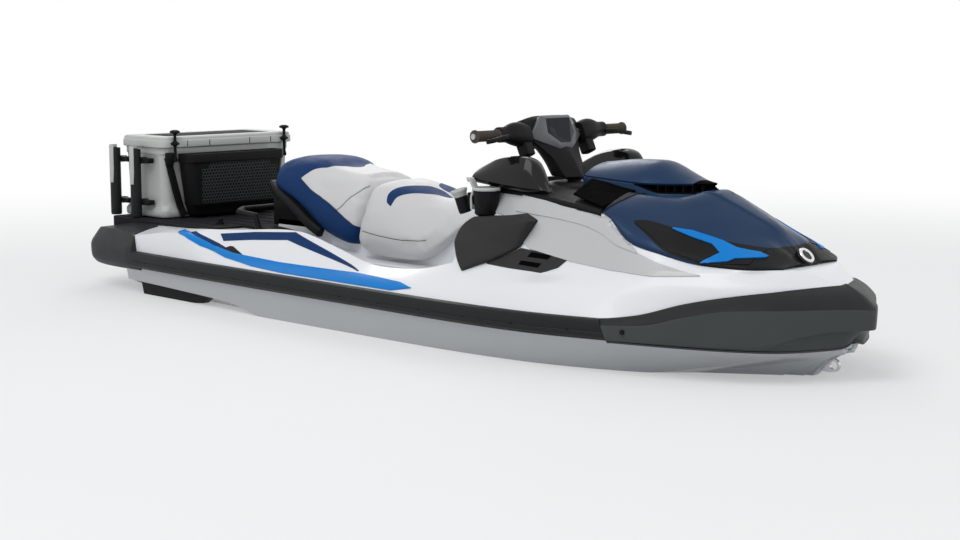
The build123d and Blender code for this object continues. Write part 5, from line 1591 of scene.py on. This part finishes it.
def honeycomb_tree(finish):
    """Tree that sets a six-sided rim on every point, facing the bow."""
    tree, source, keys = new_tree("basket_net", "Pitch", "Thickness")
    ring = add_node(tree, "GeometryNodeCurvePrimitiveCircle", {"Resolution": 6})
    wire = add_node(tree, "GeometryNodeCurvePrimitiveCircle", {"Resolution": 4})
    solid = add_node(tree, "GeometryNodeCurveToMesh")
    turn = add_node(tree, "GeometryNodeTransform", {"Rotation": (math.pi / 2, 0, math.pi / 2)})
    join(tree, (times(tree, source, "Pitch", NET_RIM), 0, ring, "Radius"),
        (source, "Thickness", wire, "Radius"), (ring, "Curve", solid, "Curve"),
        (wire, "Curve", solid, "Profile Curve"), (solid, "Mesh", turn, "Geometry"))
    set_on_points(tree, source, turn, "Geometry", finish)
    return tree, keys


def make_basket(foot):
    """Moulded basket on the cooler's front, with a honeycomb net let into its face."""
    back = COOLER_X[1] + 0.009
    y0, y1 = -0.285, 0.245

    def ring(z, y_in, depth, x_back=back):
        return [Vector((x_back, y0 + y_in, z)), Vector((x_back + depth * 0.8, y0 + y_in, z)),
            Vector((x_back + depth, y0 + y_in + 0.022, z)), Vector((x_back + depth, y1 - y_in
            - 0.022, z)), Vector((x_back + depth * 0.8, y1 - y_in, z)),
            Vector((x_back, y1 - y_in, z))]

    rim_z = foot + 0.283
    wall = 0.005
    rings = [ring(foot + 0.004, 0.052, 0.05), ring(foot + 0.012, 0.044, 0.062),
        ring(foot + 0.05, 0.034, 0.078), ring(foot + 0.056, 0.03, 0.086),
        ring(rim_z - 0.044, 0.006, 0.088), ring(rim_z - 0.038, 0.0, 0.094), ring(rim_z, 0.0, 0.094)]
    inside = [ring(rim_z, wall, 0.094 - 2 * wall, back + wall), ring(foot + 0.06, 0.034 + wall,
        0.08 - 2 * wall, back + wall), ring(foot + 0.016, 0.048 + wall,
        0.054 - 2 * wall, back + wall)]
    piece("basket_shell", shell(rings + inside), "basket_black", replaces=["cooler_basket"],
        bevel=0.004)
    spots = []
    for row in range(13):
        z = foot + 0.072 + row * NET_PITCH * 0.87
        lean = back + lerp(0.0868, 0.0882, row / 12) + 0.0006
        width = 0.205 if row < 11 else 0.17
        for k in range(-13, 14):
            y = -0.012 + (k + 0.5 * (row % 2)) * NET_PITCH
            if abs(y + 0.012) < width:
                spots.append((lean, y, z))
    mesh = bpy.data.meshes.new("basket_net")
    mesh.from_pydata(spots, [], [])
    tree, keys = honeycomb_tree("bumper_side")
    repeated("basket_net", mesh, tree, keys, (NET_PITCH, NET_WIRE), "bumper_side")


def make_strap(foot):
    """Webbing strap with its buckle, down the cooler's front corner."""
    front = COOLER_X[1] + 0.0005
    path = trail([(front, -0.334, foot + 0.268), (front + 0.003, -0.318, foot + 0.2),
        (front + 0.006, -0.28, foot + 0.06), (front + 0.016, -0.262, foot + 0.006)], 30)
    section = [(-0.0017, -0.018), (0.0017, -0.018), (0.0017, 0.018), (-0.0017, 0.018)]
    strap = swept(path, section, up=(0, 1, 0.2))
    piece("cooler_webbing", strap, "strap_webbing", replaces=["cooler_strap"], bevel=0.0006)
    spots = []
    for place in path[2:-2]:
        for edge in (-0.014, 0.014):
            spots.append((place + Vector((0.0018, edge, 0)), (1, 0, 0)))
    studs("strap_stitches", spots, 0.0009, 0.001, "bumper_side", sides=6)
    buckle = box_mesh((front + 0.001, -0.35, foot + 0.232), (front + 0.014, -0.308, foot + 0.288),
        0.004)
    piece("strap_buckle", buckle, "black_plastic")


def make_rod_tubes(foot):
    """Rod tubes on the cooler's end: dark tubes with a pale upper sheath."""
    y = -(COOLER_Y + 0.008 + 0.009 + 0.026)
    tubes, sheaths, mounts = [], [], []
    for x in (-1.822, -1.662):
        place = at((x, y, foot))
        tubes.append(turned([(0, 0.015), (0.021, 0.015), (0.021, 0.3), (0.0245, 0.3),
            (0.0245, 0.008), (0.022, 0), (0, 0)], place, 36))
        columns = []
        for i in range(25):
            a = math.radians(lerp(-235.0, -50.0, i / 24))
            cut = 0.145 if i < 24 else 0.2
            ring = [(0.0248, cut), (0.0258, cut + 0.002), (0.0258, 0.308), (0.0248, 0.314),
                (0.0215, 0.314), (0.0212, 0.302), (0.0246, 0.301)]
            columns.append([place @ Vector((r * math.cos(a), r * math.sin(a), h)) for r, h in ring])
        sheaths.append(shell(columns))
        for height in (0.05, 0.235):
            z = foot + height
            mounts.append(box_mesh((x - 0.016, y + 0.02, z), (x + 0.016, -COOLER_Y + 0.012, z
                + 0.028), 0.003))
            mounts.append(box_mesh((x - 0.024, y + 0.012, z + 0.004),
                (x + 0.078, y + 0.046, z + 0.026), 0.004))
    piece("rod_tube_cores", combine(*tubes), "rail_charcoal", replaces=["rod_tubes"], sharp=40)
    piece("rod_tube_sheaths", combine(*sheaths), "cooler_grey", sharp=40)
    piece("rod_tube_mounts", combine(*mounts), "black_plastic", replaces=["rod_tube_brackets"])


# ---- fittings -----------------------------------------------------------------------------------
CUP_PLACE = (0.48, -0.352, 0.462)
ROD_PLACE = (0.372, -0.352, 0.47)


def make_holders():
    """Cup holder with its pale rim and pull-out, and the front rod holder beside it."""
    place = at(CUP_PLACE)
    cup = turned([(0, 0.006), (0.0425, 0.006), (0.0435, 0.094), (0.0475, 0.094), (0.0475, 0.088),
        (0.045, 0.06), (0.042, 0.01), (0.036, 0), (0, 0)], place, 64)
    piece("cup_body", cup, "black_plastic", replaces=["cup_holder"], bevel=0.001)
    rim = turned([(0.043, 0.092), (0.05, 0.09), (0.0515, 0.094), (0.051, 0.099), (0.048, 0.1015),
        (0.044, 0.1005)], place, 64, closed=True)
    arm = swept(trail([(0.424, -0.352, 0.556), (0.404, -0.352, 0.585), (0.388, -0.345, 0.59),
        (0.38, -0.33, 0.578)], 20), [(-0.012, -0.004), (0.012, -0.004), (0.012, 0.004),
        (-0.012, 0.004)])
    foot = swept(trail([(0.424, -0.356, 0.552), (0.414, -0.358, 0.52), (0.418, -0.36, 0.48)], 14),
        [(-0.004, -0.008), (0.004, -0.008), (0.004, 0.008), (-0.004, 0.008)], (0, 1, 0))
    piece("cup_rim", combine(rim, arm, foot), "cooler_grey", bevel=0.0015)
    tube = at(ROD_PLACE, (13, -12, 0))
    holder = turned([(0, -0.005), (0.022, -0.005), (0.0235, 0.004), (0.0235, 0.07), (0.0195, 0.072),
        (0.0195, 0.02), (0, 0.02)], tube, 40)
    piece("rod_holder_tube", holder, "black_plastic", replaces=["front_rod_holder"], bevel=0.001)
    ring = turned([(0.02, 0.056), (0.0245, 0.056), (0.0255, 0.064), (0.0315, 0.076),
        (0.0305, 0.082), (0.0265, 0.083), (0.0215, 0.076)], tube, 40, closed=True)
    piece("rod_holder_ring", ring, "cooler_grey", bevel=0.001)
    bridge = box_mesh((0.392, -0.364, 0.492), (0.42, -0.34, 0.54), 0.004)
    piece("holder_bridge", bridge, "black_plastic")


def make_knee_boxes():
    """Moulded storage boxes ahead of the footwells, and the slotted vents beside them."""
    surface = surface_of("deck_moulding")
    boxes = []
    for side in (1, -1):
        edge = [(0.505, 0.502, 0.276), (0.455, 0.482, 0.315), (0.424, 0.46, 0.371),
            (0.413, 0.43, 0.408), (0.425, 0.41, 0.437), (0.468, 0.405, 0.461), (0.593, 0.405, 0.47),
            (0.675, 0.402, 0.484), (0.736, 0.405, 0.464), (0.722, 0.412, 0.42),
            (0.704, 0.418, 0.372), (0.654, 0.442, 0.34), (0.592, 0.468, 0.313),
            (0.551, 0.486, 0.298)]
        middle = Vector((0.58, 0.44, 0.38))
        edge = [Vector(p) for p in edge]
        back = [Vector((p.x, 0.305, max(p.z, 0.262))) for p in edge]
        raised = [p.lerp(middle, 0.06) + Vector((0, 0.008, 0.003)) for p in edge]
        face = [p.lerp(middle, 0.22) + Vector((0, 0.011, 0.004)) for p in edge]
        rings = [[Vector((p.x, side * p.y, p.z)) for p in ring] for ring in (back, edge, raised,
            face)]
        rows = {0: 0.9, 2: 0.7, 5: 0.8, 7: 0.9, 8: 0.9, 10: 0.9}
        boxes.append(shell(rings, rows, {0: 1.0, 1: 0.8, 2: 0.5}, 1.0, 0.3))
    piece("knee_boxes", combine(*boxes), "knee_charcoal", replaces=["knee_pads"], levels=2,
        sharp=60)
    low = [(0.594, 0.309), (0.7, 0.303), (0.833, 0.298), (0.893, 0.32), (0.922, 0.349)]
    top = [(0.594, 0.312), (0.654, 0.339), (0.709, 0.369), (0.816, 0.361), (0.922, 0.352)]
    frames = panel_pair(surface, low, top, 0.003, 10, 60, 0.012)
    piece("vent_frames", frames, "knee_charcoal", replaces=["deck_vents"])
    slots = [panel_pair(surface, [a, b], [c, d], 0.0045, 4, 12, 0.004) for a, b, c,
        d in (((0.751, 0.343), (0.839, 0.341), (0.76, 0.359), (0.849, 0.355)), ((0.727, 0.316),
        (0.81, 0.312), (0.731, 0.329), (0.82, 0.326)))]
    # Flat near-black strips stand for the open slots: painted shade.
    piece("vent_slots", combine(*slots), "recess")


def make_mats():
    """Ribbed mats in the footwells and over the stern platform."""
    spots = [((x, side * y, 0.044), (0, 0, 1)) for side in (1, -1) for i,
        x in enumerate(spread(-0.84, 0.375, 60)) for j, y in enumerate(spread(0.29, 0.428, 7))
        if j % 2 == i % 2]
    studs("footwell_grips", spots, 0.0055, 0.002, "mat_grey", sides=6)
    low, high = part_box("platform_mat")
    lines = [box_mesh((low.x + 0.03, y - 0.006, high.z - 0.001), (high.x - 0.03, y + 0.006, high.z
        + 0.0025), 0.001) for y in spread(-0.395, 0.395, 11)]
    piece("platform_ribs", combine(*lines), "mat_black")
    columns = [[Vector((x, y, CORE_Z(x) + 0.002)) for y in (-0.258, 0.258)]
        for x in spread(high.x + 0.001, -0.715, 12)]
    lifted = [[p + Vector((0, 0, 0.009)) for p in column] for column in columns]
    front = shell([a + b[::-1] for a, b in zip(columns, lifted)])
    piece("platform_front", front, "mat_black", bevel=0.002)


def make_marks():
    """Side vents of the deck and the grey edge over each blue strip."""
    surface = surface_of("deck_moulding")
    low = [(-0.845, 0.238), (-0.69, 0.226)]
    top = [(-0.845, 0.24), (-0.805, 0.254), (-0.785, 0.254), (-0.69, 0.228)]
    piece("deck_side_vents", panel_pair(surface, low, top, 0.002, 5, 24, 0.006), "black_satin")
    low = [(-1.08, 0.2885), (-0.906, 0.2475), (-0.79, 0.2335)]
    top = [(-1.06, 0.292), (-0.93, 0.266), (-0.79, 0.24)]
    piece("strip_edges", panel_pair(surface, low, top, 0.0015, 4, 30, 0.004), "seat_navy")


def make_screws():
    """Screw heads along the rub rails, the bumpers and the transom gear."""
    spots = [((x, side * (PLAN(x) - 0.0075), 0.144), (0, side, 0)) for side in (1, -1)
        for x in spread(-1.3, 1.05, 12)]
    studs("rail_screws", spots, 0.0055, 0.003, "black_plastic", sides=16)
    spots = [((-1.8655, y, 0.165), (-1, 0, 0)) for y in (-0.42, -0.2, 0.2, 0.42)]
    studs("stern_screws", spots, 0.0065, 0.003, "steel", sides=16)


# ---- stage --------------------------------------------------------------------------------------
def pale_floor(base):
    """Pale floor that shows white to the camera and to gloss, and keeps its shadow."""
    material, tree, shader = new_material("studio_floor")
    feed(tree, shader, Base_Color=add_tint(tree, add_noise(tree, 4.0), base, 0.01))
    shader.inputs["Roughness"].default_value = 0.9
    shader.inputs["Specular IOR Level"].default_value = 0.1
    coords = add_node(tree, "ShaderNodeTexCoord")
    reach = add_node(tree, "ShaderNodeVectorMath", operation="LENGTH")
    fade = add_node(tree, "ShaderNodeMapRange", {"From Min": 2.4, "From Max": 6.5, "To Min": 0.35},
        interpolation_type="SMOOTHSTEP")
    share = add_node(tree, "ShaderNodeMath", operation="MULTIPLY")
    white = add_node(tree, "ShaderNodeEmission")
    mix = add_node(tree, "ShaderNodeMixShader")
    tree.links.new(white_rays(tree), share.inputs[1])
    join(tree, (coords, "Object", reach, 0), (reach, "Value", fade, "Value"),
        (fade, "Result", share, 0), (share, 0, mix, "Fac"), (shader, "BSDF", mix, 1),
        (white, "Emission", mix, 2), (mix, "Shader", tree.nodes["Material Output"], "Surface"))
    return material


def white_rays(tree):
    """1 for rays from the camera, and for those seen in gloss or through glass."""
    path = tree.nodes.new("ShaderNodeLightPath")
    total = path.outputs["Is Camera Ray"]
    for kind in ("Is Glossy Ray", "Is Transmission Ray"):
        either = add_node(tree, "ShaderNodeMath", operation="MAXIMUM")
        tree.links.new(total, either.inputs[0])
        tree.links.new(path.outputs[kind], either.inputs[1])
        total = either.outputs[0]
    return total


def make_stage(settings):
    """Pale floor, even sky and three soft lamps."""
    bpy.ops.mesh.primitive_plane_add(size=60.0, location=(0, 0, 0))
    floor = bpy.context.active_object
    floor.name = "studio_floor"
    floor.data.materials.append(pale_floor(settings.floor))
    world = bpy.data.worlds.new("studio")
    world.use_nodes = True
    sky = world.node_tree.nodes["Background"]
    sky.inputs["Color"].default_value = (1, 1, 1, 1)
    level = add_range(world.node_tree, white_rays(world.node_tree), settings.sky_light, 1.0)
    world.node_tree.links.new(level, sky.inputs["Strength"])
    bpy.context.scene.world = world
    power = settings.lamp_power
    add_lamp("key", (1, -5, 7), (0.3, 0, 0.3), 5.0, power)
    add_lamp("fill", (6, 3, 3.5), (0, 0, 0.3), 4.0, power * 0.25)
    add_lamp("rim", (-5, 4, 4), (0, 0, 0.3), 3.5, power * 0.4)


def add_lamp(name, place, target, size, power):
    """Square soft lamp aimed at a target."""
    lamp = bpy.data.lights.new(name, "AREA")
    lamp.shape = "SQUARE"
    lamp.size = size
    lamp.energy = power
    holder = new_object(name, lamp)
    holder.location = place
    aim = Vector(target) - Vector(place)
    holder.rotation_euler = aim.to_track_quat("-Z", "Y").to_euler()


def make_camera(settings):
    data = bpy.data.cameras.new("camera")
    data.sensor_width = 36.0
    data.lens = settings.lens
    data.clip_end = 200.0
    camera = new_object("camera", data)
    camera.location = settings.camera_place
    camera.rotation_euler = (math.pi / 2 - settings.camera_pitch, 0, settings.camera_turn)
    bpy.context.scene.camera = camera


# ---- operators ----------------------------------------------------------------------------------
class WATERCRAFT_OT_stage(bpy.types.Operator):
    """Floor at the waterline, soft light and the camera"""
    bl_idname = "watercraft.stage"
    bl_label = "Stage"

    def execute(self, context):
        settings = context.scene.watercraft_stage
        make_stage(settings)
        make_camera(settings)
        context.scene.view_settings.view_transform = "Standard"
        return {"FINISHED"}


class WATERCRAFT_OT_finishes(bpy.types.Operator):
    """Finish of every carried-over part"""
    bl_idname = "watercraft.finishes"
    bl_label = "Finishes"

    def execute(self, context):
        FINISHES.update(make_finishes(context.scene.watercraft_colours))
        dress_frame(FINISHES)
        return {"FINISHED"}


class WATERCRAFT_OT_hull(bpy.types.Operator):
    """Hull with its chines and strakes, open at the pump"""
    bl_idname = "watercraft.hull"
    bl_label = "Hull"

    def execute(self, context):
        make_hull()
        return {"FINISHED"}


class WATERCRAFT_OT_deck(bpy.types.Operator):
    """Deck moulding with its footwells"""
    bl_idname = "watercraft.deck"
    bl_label = "Deck"

    def execute(self, context):
        make_deck()
        return {"FINISHED"}


class WATERCRAFT_OT_bumpers(bpy.types.Operator):
    """Rub rails and both bumpers"""
    bl_idname = "watercraft.bumpers"
    bl_label = "Bumpers"

    def execute(self, context):
        make_rub_rails()
        make_front_bumper()
        make_rear_bumper()
        return {"FINISHED"}


class WATERCRAFT_OT_hood(bpy.types.Operator):
    """Front hood with its cowl, side panels and nose ring"""
    bl_idname = "watercraft.hood"
    bl_label = "Hood"

    def execute(self, context):
        make_hood()
        make_hood_trims()
        return {"FINISHED"}


class WATERCRAFT_OT_console(bpy.types.Operator):
    """Console cover, mirrors, side panels and trims"""
    bl_idname = "watercraft.console"
    bl_label = "Console"

    def execute(self, context):
        make_console()
        make_mirrors()
        make_side_panels()
        make_trims()
        return {"FINISHED"}


class WATERCRAFT_OT_seats(bpy.types.Operator):
    """Padded seats, seat pan and side grips"""
    bl_idname = "watercraft.seats"
    bl_label = "Seats"

    def execute(self, context):
        make_seats()
        return {"FINISHED"}


class WATERCRAFT_OT_steering(bpy.types.Operator):
    """Column cowl, pod, handlebar, grips and switches"""
    bl_idname = "watercraft.steering"
    bl_label = "Steering"

    def execute(self, context):
        make_steering()
        return {"FINISHED"}


class WATERCRAFT_OT_cooler(bpy.types.Operator):
    """Cooler box with its lid, latches, basket, strap and rod tubes"""
    bl_idname = "watercraft.cooler"
    bl_label = "Cooler"

    def execute(self, context):
        make_cooler()
        return {"FINISHED"}


class WATERCRAFT_OT_fittings(bpy.types.Operator):
    """Holders, knee boxes, vents, mats and screws"""
    bl_idname = "watercraft.fittings"
    bl_label = "Fittings"

    def execute(self, context):
        make_holders()
        make_knee_boxes()
        make_mats()
        make_marks()
        make_screws()
        return {"FINISHED"}


STEPS = ["finishes", "hull", "deck", "bumpers", "hood", "console", "seats", "steering", "cooler",
    "fittings", "stage"]
CLASSES = [WatercraftColours, WatercraftStage, WATERCRAFT_OT_stage, WATERCRAFT_OT_finishes,
    WATERCRAFT_OT_hull, WATERCRAFT_OT_deck, WATERCRAFT_OT_bumpers, WATERCRAFT_OT_hood,
    WATERCRAFT_OT_console, WATERCRAFT_OT_seats, WATERCRAFT_OT_steering, WATERCRAFT_OT_cooler,
    WATERCRAFT_OT_fittings]


class WATERCRAFT_PT_panel(bpy.types.Panel):
    """Lists the operators that make the craft's pieces"""
    bl_idname = "WATERCRAFT_PT_panel"
    bl_label = "Watercraft"
    bl_space_type = "VIEW_3D"
    bl_region_type = "UI"
    bl_category = "Watercraft"

    def draw(self, context):
        for step in STEPS:
            self.layout.operator(f"watercraft.{step}")


def register():
    for cls in CLASSES + [WATERCRAFT_PT_panel]:
        bpy.utils.register_class(cls)
    bpy.types.Scene.watercraft_colours = bpy.props.PointerProperty(type=WatercraftColours)
    bpy.types.Scene.watercraft_stage = bpy.props.PointerProperty(type=WatercraftStage)


def unregister():
    del bpy.types.Scene.watercraft_stage
    del bpy.types.Scene.watercraft_colours
    for cls in reversed(CLASSES + [WATERCRAFT_PT_panel]):
        bpy.utils.unregister_class(cls)


def main():
    """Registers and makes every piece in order."""
    register()
    for step in STEPS:
        getattr(bpy.ops.watercraft, step)()


if __name__ == "__main__":
    main()
